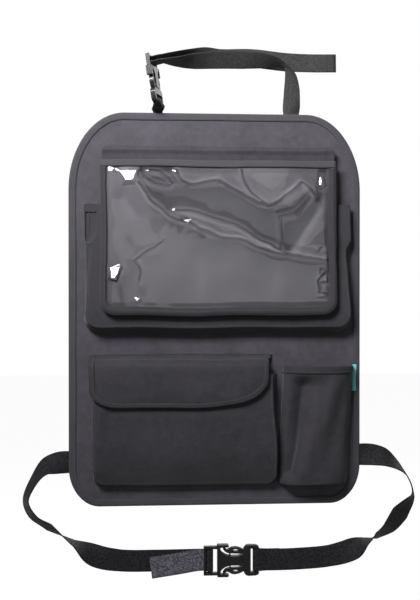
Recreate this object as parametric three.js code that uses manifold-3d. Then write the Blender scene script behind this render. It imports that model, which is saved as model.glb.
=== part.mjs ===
// Organizer for the back of a car's front seat: bound cloth panel, tablet sleeve, three pockets, two straps.
// Millimetres, +Z up. X runs to the viewer's right, the front faces -Y. The origin is the middle of the
// panel's back, the face that lies against the seat.

import * as THREE from 'three';
import { mergeVertices } from 'three/addons/utils/BufferGeometryUtils.js';
import Module from 'manifold-3d';

const wasm = await Module();
wasm.setup();

// Cloth, tape and clearances
const cloth = 1.0;
const tape = 0.8;
const seam = 0.3;
const board = 1.5;
const film = 0.4;
const fastenerTape = 1.0;

// Panel
const panelWidth = 400;
const panelHeight = 536;
const topCornerWidth = 76;
const topCornerHeight = 105;
const bottomCornerWidth = 42;
const bottomCornerHeight = 54;
const bindingWidth = 10;
const boardInset = 13.5;
const stitchInset = 34;
const stitchWidth = 1.6;
const stitchDepth = 0.4;

// Big pocket
const bigLeft = -178;
const bigRight = 184;
const bigMouth = 144;
const bigBottom = -24;
const bigMouthDepth = 11.4;
const bigBottomDepth = 23;
const bigCorner = 20;
const bigFlare = 8;
const bigHem = 12;
const scoopDepth = 26;

// Tablet sleeve
const sleeveLeft = -156;
const sleeveRight = 163;
const sleeveTop = 221;
const sleeveBottom = -8;
const sleeveCorner = 20;
const sleeveBindingWidth = 8;
const sleeveSlot = 6.6;
const sleeveFrontDrop = 16;
const sleeveWelt = 9;
const windowMargin = 8;
const windowCorner = 15;
const filmOverlap = 6.5;
const closureWidth = 56;
const closureHeight = 12;

// Flap pocket
const flapPocketLeft = -166;
const flapPocketRight = 85;
const flapPocketMouth = -88;
const flapPocketBottom = -236;
const flapPocketDepth = 24;
const flapPocketCrown = 5;
const flapPocketCorner = 14;
const flapPocketFlare = 6;
const flapPocketHem = 12;
const flapLeft = -172;
const flapRight = 78;
const flapTop = -60;
const flapDrop = 134;
const flapSewn = 7;
const flapGap = 3.6;
const flapLeftCorner = [42, 29];
const flapRightCorner = [110, 42];
const flapBindingWidth = 7;
const flapTapeWidth = 70;
const flapTapeHeight = 18;
const flapTapeLevel = -114;

// Bottle pocket
const bottleLeft = 93;
const bottleRight = 188;
const bottleMouth = -76;
const bottleBottom = -236;
const bottleDepth = 33;
const bottleRoundness = 2.6;
const bottleHem = 10;
const bottleSkew = 7;

// Ribbon tag in the bottle pocket's seam
const tagReach = 5.6;
const tagLength = 36;
const tagThickness = 0.6;

// Webbing
const webbing = 1.5;
const webbingHold = 12;
const webbingFree = 1.6;
const barClearance = 0.45;
const lowerWeb = 30;
const upperWeb = 25;

// Straps at the panel's edge: heights above the panel's bottom, and places across its top
const lowerLeftAnchor = 61;
const lowerRightAnchor = 67;
const upperLongAnchor = 104;
const upperShortAnchor = -79;
const upperLongNeck = 22;
const upperShortNeck = 13;
const upperShortWidth = 17;

// Buckles: where the adjuster end lies, from the panel's bottom or top, and how the upper one is turned
const lowerBuckleX = -17;
const lowerBuckleY = -11;
const lowerBuckleDrop = 74;
const upperBuckleX = -89;
const upperBuckleY = -14;
const upperBuckleRise = 75;
const upperBuckleLean = 0.155;
const upperBuckleTurn = 0.3;

// Edges of the panel
const side = panelWidth / 2;
const top = panelHeight / 2;

// Layers of the panel, from the back at y = 0 to the front
const liningFront = -cloth;
const boardBack = liningFront - seam;
const boardFront = boardBack - board;
const faceBack = boardFront - seam;
const panelFront = faceBack - cloth;
const webbingY = (boardBack + boardFront) / 2;
const pocketBack = panelFront - seam;
const bindingFront = panelFront - seam - tape;

// Finishes
const finish = (color, roughness, metalness = 0) => new THREE.MeshStandardMaterial({ color, roughness, metalness });
const clothFinish = finish(0x2c2a2e, 0.85);
const liningFinish = finish(0x252427, 0.9);
const boardFinish = finish(0x6a625a, 0.9);
const bindingFinish = finish(0x1d1c1e, 0.75);
const filmFinish = new THREE.MeshStandardMaterial({
  color: 0xcfcfd2, roughness: 0.12, metalness: 0, transparent: true, opacity: 0.25,
});
const webbingFinish = finish(0x242427, 0.8);
const plasticFinish = finish(0x161618, 0.3);
const tapeFinish = finish(0x1a1a1c, 0.95);
const tagFinish = finish(0x58b0ab, 0.6);

// Organizer, in hanging position
const group = new THREE.Group();

function addPart(name, geometry, material, parent = group) {
  const mesh = new THREE.Mesh(geometry, material);
  mesh.name = name;
  parent.add(mesh);
  return mesh;
}

// Closed geometry to solid and back
function solidOf(geometry) {
  const bare = geometry.clone();
  bare.deleteAttribute('normal');
  bare.deleteAttribute('uv');
  const merged = mergeVertices(bare, 1e-4);
  return new wasm.Manifold(new wasm.Mesh({
    numProp: 3,
    vertProperties: new Float32Array(merged.attributes.position.array),
    triVerts: new Uint32Array(merged.index.array),
  }));
}

function geometryOf(solid) {
  const mesh = solid.getMesh();
  const geometry = new THREE.BufferGeometry();
  geometry.setAttribute('position', new THREE.BufferAttribute(new Float32Array(mesh.vertProperties), 3));
  geometry.setIndex(new THREE.BufferAttribute(new Uint32Array(mesh.triVerts), 1));
  geometry.computeVertexNormals();
  return geometry;
}

const cut = (geometry, ...tools) => geometryOf(
  tools.reduce((solid, tool) => solid.subtract(solidOf(tool)), solidOf(geometry)),
);

const join = (...pieces) => geometryOf(
  pieces.slice(1).reduce((solid, piece) => solid.add(solidOf(piece)), solidOf(pieces[0])),
);

// Box from its lowest to its highest corner
function boxBetween(low, high) {
  const size = high.map((value, axis) => value - low[axis]);
  const middle = high.map((value, axis) => (value + low[axis]) / 2);
  return new THREE.BoxGeometry(...size).translate(...middle);
}

// Rectangle with its four corners rounded to quarter ellipses, each [width, height]
function roundedRectangle(left, right, bottom, top, bottomLeft, bottomRight, topRight, topLeft) {
  const shape = new THREE.Shape();
  const corner = (x, z, radii, from) => {
    if (radii[0] > 0) shape.absellipse(x, z, radii[0], radii[1], from, from + Math.PI / 2, false, 0);
    else shape.lineTo(x, z);
  };
  shape.moveTo(left + bottomLeft[0], bottom);
  corner(right - bottomRight[0], bottom + bottomRight[1], bottomRight, -Math.PI / 2);
  corner(right - topRight[0], top - topRight[1], topRight, 0);
  corner(left + topLeft[0], top - topLeft[1], topLeft, Math.PI / 2);
  corner(left + bottomLeft[0], bottom + bottomLeft[1], bottomLeft, Math.PI);
  return shape;
}

// Flat piece cut to a shape drawn in X and Z, from its back at y = back towards the front
function slab(shape, back, thickness, curveSegments = 10) {
  const geometry = new THREE.ExtrudeGeometry(shape, { depth: thickness, bevelEnabled: false, curveSegments });
  return geometry.rotateX(Math.PI / 2).translate(0, back, 0);
}

// Closed solid through rings of points, each ring with the same number, capped at both ends. Opposite faces
// are split along the same diagonal, so that a thin band doesn't pass through itself where it twists.
function loft(rings) {
  const count = rings[0].length;
  const positions = rings.flat().flatMap((point) => [point.x, point.y, point.z]);
  const index = [];
  for (let ring = 0; ring < rings.length - 1; ring += 1) {
    for (let corner = 0; corner < count; corner += 1) {
      const next = (corner + 1) % count;
      const a = ring * count + corner;
      const b = ring * count + next;
      if (corner < count / 2) index.push(a, a + count, b, b, a + count, b + count);
      else index.push(a, a + count, b + count, a, b + count, b);
    }
  }
  const last = (rings.length - 1) * count;
  for (let corner = 1; corner < count - 1; corner += 1) {
    index.push(0, corner, corner + 1);
    index.push(last, last + corner + 1, last + corner);
  }
  return facingOut(positions, index);
}

// Geometry with its triangles turned so that they face out
function facingOut(positions, index) {
  const corner = (at) => new THREE.Vector3().fromArray(positions, index[at] * 3);
  let volume = 0;
  for (let at = 0; at < index.length; at += 3) {
    volume += corner(at).dot(corner(at + 1).cross(corner(at + 2)));
  }
  if (volume < 0) index.reverse();
  const geometry = new THREE.BufferGeometry();
  geometry.setAttribute('position', new THREE.Float32BufferAttribute(positions, 3));
  geometry.setIndex(index);
  geometry.computeVertexNormals();
  return geometry;
}

// Outline of a sewn piece in its own two directions: x across and t up, with rounded bottom corners
function outline(left, right, bottom, top, leftCorner, rightCorner) {
  return { left, right, bottom, top, leftCorner, rightCorner };
}

// The same outline drawn in on its sides and bottom, and on its top by another amount
const squareCorner = [0.5, 0.5];
function drawnIn(area, inset, topInset = 0) {
  const smaller = (corner) => corner.map((radius, axis) => Math.max(radius - inset, squareCorner[axis]));
  return outline(
    area.left + inset, area.right - inset, area.bottom + inset, area.top - topInset,
    smaller(area.leftCorner), smaller(area.rightCorner),
  );
}

function cornerStep(radii, height) {
  const rise = THREE.MathUtils.clamp((radii[1] - height) / radii[1], 0, 1);
  return radii[0] * (1 - Math.sqrt(1 - rise * rise));
}

// Heights of the rows: close together round the bottom corners, even above them
function rowHeights(area, cornerRows, straightRows) {
  const tallest = Math.max(area.leftCorner[1], area.rightCorner[1]);
  const rows = [];
  for (let row = 0; row < cornerRows; row += 1) {
    rows.push(area.bottom + tallest * (1 - Math.cos((row / cornerRows) * Math.PI / 2)));
  }
  for (let row = 0; row <= straightRows; row += 1) {
    rows.push(THREE.MathUtils.lerp(area.bottom + tallest, area.top, row / straightRows));
  }
  return rows;
}

// Cloth between two offsets from a curved surface; place(x, t) gives the surface's points
function skin(place, area, inner, outer, columns = 14, cornerRows = 5, straightRows = 7) {
  const small = 0.01;
  const offsetPoint = (x, t, offset) => {
    const across = place(x + small, t).sub(place(x - small, t));
    const up = place(x, t + small).sub(place(x, t - small));
    return place(x, t).addScaledVector(across.cross(up).normalize(), offset);
  };
  const rows = rowHeights(area, cornerRows, straightRows);
  const positions = [];
  const grids = [outer, inner].map((offset) => rows.map((t) => {
    const low = area.left + cornerStep(area.leftCorner, t - area.bottom);
    const high = area.right - cornerStep(area.rightCorner, t - area.bottom);
    return Array.from({ length: columns + 1 }, (_, column) => {
      const point = offsetPoint(THREE.MathUtils.lerp(low, high, column / columns), t, offset);
      positions.push(point.x, point.y, point.z);
      return positions.length / 3 - 1;
    });
  }));
  const index = [];
  const quad = (a, b, c, d) => index.push(a, b, c, a, c, d);
  const [front, back] = grids;
  const lastRow = rows.length - 1;
  for (let row = 0; row < lastRow; row += 1) {
    for (let column = 0; column < columns; column += 1) {
      quad(front[row][column], front[row][column + 1], front[row + 1][column + 1], front[row + 1][column]);
      quad(back[row][column], back[row + 1][column], back[row + 1][column + 1], back[row][column + 1]);
    }
    quad(front[row][0], front[row + 1][0], back[row + 1][0], back[row][0]);
    quad(front[row + 1][columns], front[row][columns], back[row][columns], back[row + 1][columns]);
  }
  for (let column = 0; column < columns; column += 1) {
    quad(front[0][column + 1], front[0][column], back[0][column], back[0][column + 1]);
    quad(front[lastRow][column], front[lastRow][column + 1], back[lastRow][column + 1], back[lastRow][column]);
  }
  return facingOut(positions, index);
}

// Tape folded over the sides and bottom of a sewn piece that lies between two offsets from its surface
function foldedTape(place, area, inner, outer, width, rows) {
  const reach = seam + tape;
  return cut(
    skin(place, drawnIn(area, -reach), inner - reach, outer + reach, ...rows),
    skin(place, drawnIn(area, -seam, -seam), inner - seam, outer + seam, ...rows),
    skin(place, drawnIn(area, width, -reach), inner - 2 * reach, outer + 2 * reach, ...rows),
  );
}

// Side and bottom strip of a pocket, from the panel out to the back of the pocket's front. It leans
// outwards towards the panel by the flare along the bottom.
function gusset(area, flare, frontAt) {
  const path = [];
  const steps = 6;
  const addPoint = (x, z, out, down) => path.push({ x, z, out, down });
  const arc = (radii, x, z, side) => {
    for (let step = 0; step <= steps; step += 1) {
      const angle = (step / steps) * Math.PI / 2;
      const turn = side < 0 ? angle : Math.PI / 2 - angle;
      addPoint(
        x + side * radii[0] * Math.cos(turn), z - radii[1] * Math.sin(turn), side * Math.cos(turn), Math.sin(turn),
      );
    }
  };
  const sideSteps = 8;
  const lowLeft = area.bottom + area.leftCorner[1];
  for (let step = 0; step < sideSteps; step += 1) {
    addPoint(area.left, THREE.MathUtils.lerp(area.top, lowLeft, step / sideSteps), -1, 0);
  }
  arc(area.leftCorner, area.left + area.leftCorner[0], lowLeft, -1);
  const lowRight = area.bottom + area.rightCorner[1];
  arc(area.rightCorner, area.right - area.rightCorner[0], lowRight, 1);
  for (let step = 1; step <= sideSteps; step += 1) {
    addPoint(area.right, THREE.MathUtils.lerp(lowRight, area.top, step / sideSteps), 1, 0);
  }
  return loft(path.map(({ x, z, out, down }) => {
    const front = frontAt(z);
    const lean = flare * down;
    return [
      new THREE.Vector3(x, front, z),
      new THREE.Vector3(x + out * lean, pocketBack, z - down * lean),
      new THREE.Vector3(x + out * (lean - cloth), pocketBack, z - down * (lean - cloth)),
      new THREE.Vector3(x - out * cloth, front, z + down * cloth),
    ];
  }));
}

// Webbing through stations of [place, direction of its width, width]; the width is turned square to the run
function ribbon(stations, samples = 3) {
  const curve = new THREE.CatmullRomCurve3(stations.map(([place]) => place), false, 'centripetal');
  const spans = stations.length - 1;
  const rings = [];
  for (let sample = 0; sample <= spans * samples; sample += 1) {
    const at = sample / samples;
    const span = Math.min(Math.floor(at), spans - 1);
    const share = at - span;
    const [, direction, width] = stations[span];
    const [, nextDirection, nextWidth] = stations[span + 1];
    const along = curve.getTangent(at / spans);
    const middle = curve.getPoint(at / spans);
    const across = direction.clone().lerp(nextDirection, share);
    across.addScaledVector(along, -across.dot(along)).normalize();
    const through = along.clone().cross(across);
    const half = THREE.MathUtils.lerp(width, nextWidth, share) / 2;
    rings.push([[1, 1], [-1, 1], [-1, -1], [1, -1]].map(([side, face]) => middle.clone()
      .addScaledVector(across, side * half)
      .addScaledVector(through, face * webbing / 2)));
  }
  return loft(rings);
}

const point = (x, y, z) => new THREE.Vector3(x, y, z);

// Panel
const panelOutline = (inset) => roundedRectangle(
  -side + inset, side - inset, -top + inset, top - inset,
  [bottomCornerWidth - inset, bottomCornerHeight - inset], [bottomCornerWidth - inset, bottomCornerHeight - inset],
  [topCornerWidth - inset, topCornerHeight - inset], [topCornerWidth - inset, topCornerHeight - inset],
);

function buildPanel() {
  const clothInset = tape + seam;
  addPart('panel_face', slab(panelOutline(clothInset), faceBack, cloth), clothFinish);
  addPart('panel_board', slab(panelOutline(boardInset), boardBack, board), boardFinish);

  const stitchOutline = (inset) => {
    const x = side - inset;
    const z = top - inset;
    const square = [0, 0];
    return roundedRectangle(-x, x, -z, z, square, square, square, square);
  };
  const groove = cut(
    slab(stitchOutline(stitchInset), stitchDepth, 2 * stitchDepth),
    slab(stitchOutline(stitchInset + stitchWidth), 2 * stitchDepth, 4 * stitchDepth),
  );
  addPart('panel_lining', cut(slab(panelOutline(clothInset), 0, cloth), groove), liningFinish);

  const bindingBack = seam + tape;
  const bindingDepth = bindingBack + seam + tape - panelFront;
  const slot = (place, half) => boxBetween(
    [place[0] - half[0], boardFront - seam / 2, place[1] - half[1]],
    [place[0] + half[0], boardBack + seam / 2, place[1] + half[1]],
  );
  const lowerHalf = [2 * tape, lowerWeb / 2 + seam];
  addPart('edge_binding', cut(
    slab(panelOutline(0), bindingBack, bindingDepth),
    slab(panelOutline(tape), seam, seam * 2 - panelFront),
    slab(panelOutline(bindingWidth), 2 * bindingBack, 2 * bindingDepth),
    slot([-side, lowerLeftAnchor - top], lowerHalf),
    slot([side, lowerRightAnchor - top], lowerHalf),
    slot([upperLongAnchor, top], [upperLongNeck / 2 + seam, 2 * tape]),
    slot([upperShortAnchor, top], [upperShortNeck / 2 + seam, 2 * tape]),
  ), bindingFinish);
}

// Big pocket: its front leans out towards the bottom
const bigArea = outline(bigLeft, bigRight, bigBottom, bigMouth, [bigCorner, bigCorner], [bigCorner, bigCorner]);
const bigSlope = (bigBottomDepth - bigMouthDepth) / (bigMouth - bigBottom);
const bigFront = (x, z) => point(x, panelFront - bigMouthDepth - (bigMouth - z) * bigSlope, z);

function buildBigPocket() {
  addPart('upper_pocket_front', skin(bigFront, bigArea, -cloth, 0, 6, 6, 3), clothFinish);
  const hemArea = outline(
    bigLeft + cloth + seam, bigRight - cloth - seam, bigMouth - bigHem, bigMouth, squareCorner, squareCorner,
  );
  addPart('upper_pocket_hem', skin(bigFront, hemArea, -2 * cloth - seam, -cloth - seam, 4, 1, 2), bindingFinish);

  const backOfFront = (z) => bigFront(0, z).y + cloth + seam;
  const strip = gusset(bigArea, bigFlare, backOfFront);
  const scoopMiddle = (pocketBack + backOfFront(bigMouth)) / 2;
  const scoop = new THREE.CylinderGeometry(1, 1, 2 * panelWidth, 20)
    .rotateZ(Math.PI / 2)
    .scale(1, (pocketBack - backOfFront(bigMouth)) / 2 - cloth, scoopDepth)
    .translate(0, scoopMiddle, bigMouth);
  addPart('upper_pocket_gusset', cut(strip, scoop), clothFinish);
}

// Tablet sleeve, built flat and leaned back to lie against the big pocket's front
function buildSleeve() {
  const lean = Math.atan(bigSlope);
  const sleeve = new THREE.Group();
  const middle = (sleeveLeft + sleeveRight) / 2;
  const low = bigFront(middle, sleeveBottom);
  const away = seam + tape;
  sleeve.position.set(middle, low.y - seam * Math.cos(lean), low.z);
  sleeve.rotation.x = -lean;
  group.add(sleeve);

  const half = (sleeveRight - sleeveLeft) / 2;
  const height = (sleeveTop - sleeveBottom) / Math.cos(lean);
  const frontHeight = height - sleeveFrontDrop;
  const bag = (inset, top) => roundedRectangle(
    -half + inset, half - inset, inset, top,
    [sleeveCorner - inset, sleeveCorner - inset], [sleeveCorner - inset, sleeveCorner - inset], [3, 3], [3, 3],
  );
  const square = (left, right, low, high) => roundedRectangle(left, right, low, high, [0, 0], [0, 0], [0, 0], [0, 0]);

  const backY = -away;
  const slotFront = backY - cloth - sleeveSlot;
  const filmY = slotFront;
  const frameY = filmY - film - seam;
  const bindingDepth = away + cloth + sleeveSlot + film + seam + cloth + away;
  addPart('sleeve_back', slab(bag(away, height), backY, cloth), clothFinish, sleeve);

  const margin = sleeveBindingWidth + windowMargin;
  const round = [windowCorner, windowCorner];
  const windowShape = (spread) => roundedRectangle(
    -half + margin - spread, half - margin + spread,
    margin - spread, frontHeight - sleeveWelt - windowMargin + spread, round, round, round, round,
  );
  addPart('sleeve_front_frame', cut(
    slab(bag(away, frontHeight - tape - seam), frameY, cloth),
    slab(windowShape(0), frameY + cloth, 3 * cloth),
  ), clothFinish, sleeve);
  addPart('sleeve_window', slab(windowShape(filmOverlap), filmY, film), filmFinish, sleeve);

  const wrap = cut(
    slab(bag(0, frontHeight - sleeveWelt - seam), 0, bindingDepth),
    slab(bag(tape, height), -tape, bindingDepth - 2 * tape),
    slab(bag(sleeveBindingWidth, height), bindingDepth, 3 * bindingDepth),
  );
  addPart('sleeve_edge_binding', wrap, bindingFinish, sleeve);

  const weltBack = filmY + tape;
  const weltFront = frameY - cloth - seam - tape;
  const welt = cut(
    slab(square(-half + away, half - away, frontHeight - sleeveWelt, frontHeight), weltBack, weltBack - weltFront),
    slab(square(-half, half, frontHeight - 2 * sleeveWelt, frontHeight - tape), frameY + seam, 2 * seam + cloth),
  );
  addPart('sleeve_mouth_hem', welt, bindingFinish, sleeve);

  const closure = square(-closureWidth / 2, closureWidth / 2, frontHeight - closureHeight, frontHeight - 2);
  addPart('sleeve_loop_tape', slab(closure, backY - cloth - seam, fastenerTape), tapeFinish, sleeve);
  addPart('sleeve_hook_tape', slab(closure, filmY + tape + seam + fastenerTape, fastenerTape), tapeFinish, sleeve);
}

// Flap pocket: a front that bellies out, a gusset, and a flap that hangs over the mouth
const flapPocketArea = outline(
  flapPocketLeft, flapPocketRight, flapPocketBottom, flapPocketMouth,
  [flapPocketCorner, flapPocketCorner], [flapPocketCorner, flapPocketCorner],
);

function belly(x) {
  const across = (2 * x - flapPocketLeft - flapPocketRight) / (flapPocketRight - flapPocketLeft);
  return flapPocketCrown * (1 - across * across);
}

function flapPocketFront(x, z) {
  const up = (2 * z - flapPocketBottom - flapPocketMouth) / (flapPocketMouth - flapPocketBottom);
  return point(x, panelFront - flapPocketDepth - belly(x) * (1 - up * up), z);
}

// Section of the flap's outer face from its lower edge up to the panel: how far out, and how high
const flapThickness = 2 * cloth;
const flapFoot = panelFront - 2 * seam - tape - flapThickness;
const flapReach = panelFront - flapPocketDepth - flapPocketCrown - flapGap - flapThickness - flapFoot;
const flapSection = new THREE.SplineCurve([
  [1, -flapDrop], [1, -flapDrop + 22], [0.99, flapTop - 38], [0.93, flapTop - 26], [0.76, flapTop - 17],
  [0.45, flapTop - 12.5], [0.14, flapTop - 9.5], [0, flapTop - flapSewn], [0, flapTop],
].map(([out, z]) => new THREE.Vector2(out * -flapReach, z)));
const flapLength = flapSection.getLength();

function flapFace(x, t) {
  const along = THREE.MathUtils.clamp(t, 0, flapLength);
  const at = flapSection.getPointAt(along / flapLength);
  const fullness = (flapReach + flapPocketCrown - belly(x)) / flapReach;
  return point(x, flapFoot - at.x * fullness, at.y + t - along);
}

function buildFlapPocket() {
  addPart('flap_pocket_front', skin(flapPocketFront, flapPocketArea, -cloth, 0, 12, 5, 7), clothFinish);
  const backOfFront = panelFront - flapPocketDepth + cloth + seam;
  addPart('flap_pocket_gusset', gusset(flapPocketArea, flapPocketFlare, () => backOfFront), clothFinish);
  const hemArea = outline(
    flapPocketLeft + cloth + seam, flapPocketRight - cloth - seam, flapPocketMouth - flapPocketHem, flapPocketMouth,
    squareCorner, squareCorner,
  );
  const hemBack = -2 * cloth - seam;
  addPart('flap_pocket_hem', skin(flapPocketFront, hemArea, hemBack, hemBack + cloth, 12, 1, 3), bindingFinish);

  const flapArea = outline(flapLeft, flapRight, 0, flapLength, flapLeftCorner, flapRightCorner);
  const rows = [14, 7, 14];
  addPart('pocket_flap', skin(flapFace, flapArea, -flapThickness, 0, ...rows), clothFinish);
  addPart('flap_binding', foldedTape(flapFace, flapArea, -flapThickness, 0, flapBindingWidth, rows), bindingFinish);

  const middle = (flapPocketLeft + flapPocketRight) / 2;
  const patch = (low) => outline(
    middle - flapTapeWidth / 2, middle + flapTapeWidth / 2, low, low + flapTapeHeight, squareCorner, squareCorner,
  );
  const lowest = flapTapeLevel - flapTapeHeight / 2;
  addPart('flap_hook_tape', skin(flapPocketFront, patch(lowest), seam, seam + fastenerTape, 4, 1, 2), tapeFinish);
  const behindFlap = -flapThickness - seam;
  addPart('flap_loop_tape', skin(
    flapFace, patch(lowest + flapDrop), behindFlap - fastenerTape, behindFlap, 4, 1, 2,
  ), tapeFinish);
}

// Bottle pocket: a half-round wall, sewn a little aslant, so that its foot lies further left than its mouth
const bottleShift = (z) => -bottleSkew * (bottleMouth - z) / (bottleMouth - bottleBottom);

// One level's curve; x runs evenly round it, from the left seam to the right seam
function bottleCurve(x, inset) {
  const share = (x - bottleLeft) / (bottleRight - bottleLeft);
  const angle = Math.PI * (1 - share);
  const power = 2 / bottleRoundness;
  const swell = (value) => Math.sign(value) * Math.abs(value) ** power;
  const half = (bottleRight - bottleLeft) / 2 - inset;
  return [
    (bottleLeft + bottleRight) / 2 + half * swell(Math.cos(angle)),
    pocketBack - (bottleDepth - inset) * swell(Math.sin(angle)),
  ];
}

function bottleFace(x, z) {
  return point(...bottleCurve(x, 0), z).add(point(bottleShift(z), 0, 0));
}

function buildBottlePocket() {
  const area = outline(bottleLeft, bottleRight, bottleBottom, bottleMouth - seam - tape, squareCorner, squareCorner);
  addPart('bottle_pocket_wall', skin(bottleFace, area, -cloth, 0, 24, 1, 4), clothFinish);

  const hemBottom = bottleMouth - bottleHem;
  const whole = { ...area, bottom: hemBottom, top: bottleMouth };
  const hollow = {
    ...area, left: bottleLeft - seam, right: bottleRight + seam, bottom: hemBottom - tape, top: bottleMouth - tape,
  };
  addPart('bottle_pocket_hem', cut(
    skin(bottleFace, whole, -cloth - seam - tape, seam + tape, 24, 1, 1),
    skin(bottleFace, hollow, -cloth - seam, seam, 26, 1, 1),
  ), bindingFinish);

  const steps = 24;
  const rim = Array.from({ length: steps + 1 }, (_, step) => new THREE.Vector2(
    ...bottleCurve(THREE.MathUtils.lerp(bottleLeft, bottleRight, step / steps), cloth + seam),
  ));
  const floor = new THREE.ExtrudeGeometry(new THREE.Shape(rim), { depth: cloth, bevelEnabled: false });
  addPart('bottle_pocket_base', floor.translate(bottleShift(bottleBottom), 0, bottleBottom + seam), clothFinish);
}

// Ribbon folded in two, caught in the bottle pocket's right seam
function buildTag() {
  const fold = tagThickness + seam / 2;
  const shape = new THREE.Shape();
  shape.moveTo(0, 0);
  shape.lineTo(tagReach - fold, 0);
  shape.absarc(tagReach - fold, -fold, fold, Math.PI / 2, -Math.PI / 2, true);
  shape.lineTo(0, -2 * fold);
  shape.lineTo(0, tagThickness - 2 * fold);
  shape.absarc(tagReach - fold, -fold, fold - tagThickness, -Math.PI / 2, Math.PI / 2, false);
  shape.lineTo(0, -tagThickness);
  const ribbonLoop = new THREE.ExtrudeGeometry(shape, { depth: tagLength, bevelEnabled: false, curveSegments: 4 });
  const slant = Math.atan(bottleSkew / (bottleMouth - bottleBottom));
  ribbonLoop.translate(0, 0, -tagLength).rotateY(slant);
  addPart('side_tag', ribbonLoop.translate(bottleRight + 2 * seam + tape, bindingFront - seam, bottleMouth), tagFinish);
}

// Side-release buckle. It lies along its own X from the adjuster's end, Z across, the front towards -Y.
// Its drawn sizes are those for the lower webbing; the bars keep the webbing's clearance at every size.
function buckleSizes(web) {
  const scale = web / lowerWeb;
  const barGap = webbing + 2.6 * barClearance;
  const outerHalf = 2 * scale;
  const innerHalf = 2.2 * scale;
  const barHalf = 2 * scale;
  const innerBar = 2 * outerHalf + barGap + innerHalf;
  const housing = innerBar + innerHalf + barClearance + webbing + 5.4 * scale;
  const along = (drawn) => housing + (drawn - 18.3) * scale;
  return {
    scale, barHalf, outerHalf, innerHalf, housing, along,
    outerBar: outerHalf,
    innerBar,
    between: 2 * outerHalf + barGap / 2,
    endHalf: 3.2 * scale,
    endBar: along(72),
    railInside: web / 2 + 1.1,
    railOutside: web / 2 + 1.1 + 3.6 * scale,
  };
}

// Round bar across the buckle
function crossBar(middle, half, thick, reach) {
  return new THREE.CylinderGeometry(1, 1, 2 * reach, 16)
    .rotateX(Math.PI / 2)
    .scale(half, thick, 1)
    .translate(middle, 0, 0);
}

// Shape with both halves drawn by the same points, mirrored across the buckle's middle line
function mirrored(drawHalf) {
  const half = drawHalf();
  const other = half.map(([u, v]) => [u, -v]).reverse();
  return new THREE.Shape([...half, ...other].map(([u, v]) => new THREE.Vector2(u, v)));
}

// Points along a smooth line through the given ones
function smooth(points, steps) {
  const curve = new THREE.SplineCurve(points.map(([u, v]) => new THREE.Vector2(u, v)));
  return curve.getPoints(steps).map((at) => [at.x, at.y]);
}

function femaleBuckle(web) {
  const size = buckleSizes(web);
  const { scale, along, railInside, railOutside } = size;
  const rail = (face) => slab(
    roundedRectangle(
      0, size.housing + scale,
      Math.min(face * railInside, face * railOutside), Math.max(face * railInside, face * railOutside),
      [scale, scale], [0, 0], [0, 0], [scale, scale],
    ), 3.2 * scale, 6.4 * scale, 4,
  );
  const body = mirrored(() => [
    [18.3, -21], [19.3, -21.8], [32.6, -21.8], [34, -20.6], [34, -18.7], [25, -18.7],
    ...smooth([[21.8, -17.2], [24, -12.2], [29, -8.4], [35, -6.4]], 8),
    [35, -8.9], [36.6, -8.9], [36.6, -6.2], [46, -6.2], [50, -7], [52.5, -8.2],
  ].map(([u, v]) => [along(u), v * scale]));
  const guideway = boxBetween(
    [along(30.5), -2.2 * scale, -4.7 * scale], [along(56), 2.2 * scale, 4.7 * scale],
  );
  return cut(join(
    slab(body, 5 * scale, 10 * scale),
    rail(-1),
    rail(1),
    crossBar(size.outerBar, size.outerHalf, size.barHalf, railInside + scale),
    crossBar(size.innerBar, size.innerHalf, size.barHalf, railInside + scale),
  ), guideway);
}

function maleBuckle(web) {
  const size = buckleSizes(web);
  const { scale, along, railInside } = size;
  const base = mirrored(() => [
    [53.1, -8.4],
    ...smooth([[53.1, -10], [54.4, -15.5], [57.6, -19.8], [61, -21]], 8),
    [71, -20.6], [74.6, -19], [75.5, -17], [75.5, -railInside / scale], [64, -railInside / scale],
  ].map(([u, v]) => [along(u), v * scale]));
  const arm = (face) => {
    const outer = smooth([
      [57, 12.6], [51, 16.3], [44, 18.4], [38, 17.9], [33.6, 15.4], [31, 15], [28.4, 18.1], [26.6, 18],
    ], 20);
    const inner = smooth([[25.9, 16.2], [29, 12.4], [33, 10.4], [38, 9.8], [47, 9.6], [57, 9]], 12);
    const drawn = [...outer, ...inner].map(([u, v]) => new THREE.Vector2(along(u), face * v * scale));
    const shape = new THREE.Shape(drawn);
    const eye = new THREE.Path();
    eye.absellipse(along(43.4), face * 14.1 * scale, 4.2 * scale, 1.5 * scale, 0, 2 * Math.PI);
    shape.holes.push(eye);
    return slab(shape, 3.5 * scale, 7 * scale, 8);
  };
  const tongue = boxBetween([along(31), -1.8 * scale, -4.3 * scale], [along(55), 1.8 * scale, 4.3 * scale]);
  return join(
    slab(base, 4 * scale, 8 * scale),
    arm(1),
    arm(-1),
    tongue,
    crossBar(size.endBar, size.endHalf, size.barHalf, railInside + scale),
  );
}

// Each buckle in its place, with a way to turn its own places into the organizer's
function placedBuckle(name, web, place, lean, turn) {
  const holder = new THREE.Group();
  holder.position.copy(place);
  if (lean !== undefined) {
    const down = new THREE.Vector3(Math.sin(lean), 0, -Math.cos(lean));
    const side = new THREE.Vector3(Math.cos(lean), 0, Math.sin(lean));
    const across = new THREE.Vector3(0, Math.cos(turn), 0).addScaledVector(side, Math.sin(turn));
    const through = across.clone().cross(down);
    holder.quaternion.setFromRotationMatrix(new THREE.Matrix4().makeBasis(down, through, across));
  }
  group.add(holder);
  addPart(`${name}_female`, femaleBuckle(web), plasticFinish, holder);
  addPart(`${name}_male`, maleBuckle(web), plasticFinish, holder);
  holder.updateMatrixWorld(true);
  const across = new THREE.Vector3(0, 0, 1).applyQuaternion(holder.quaternion);
  const station = ([u, y]) => [holder.localToWorld(point(u, y, 0)), across, web];
  return { size: buckleSizes(web), station };
}

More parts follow.
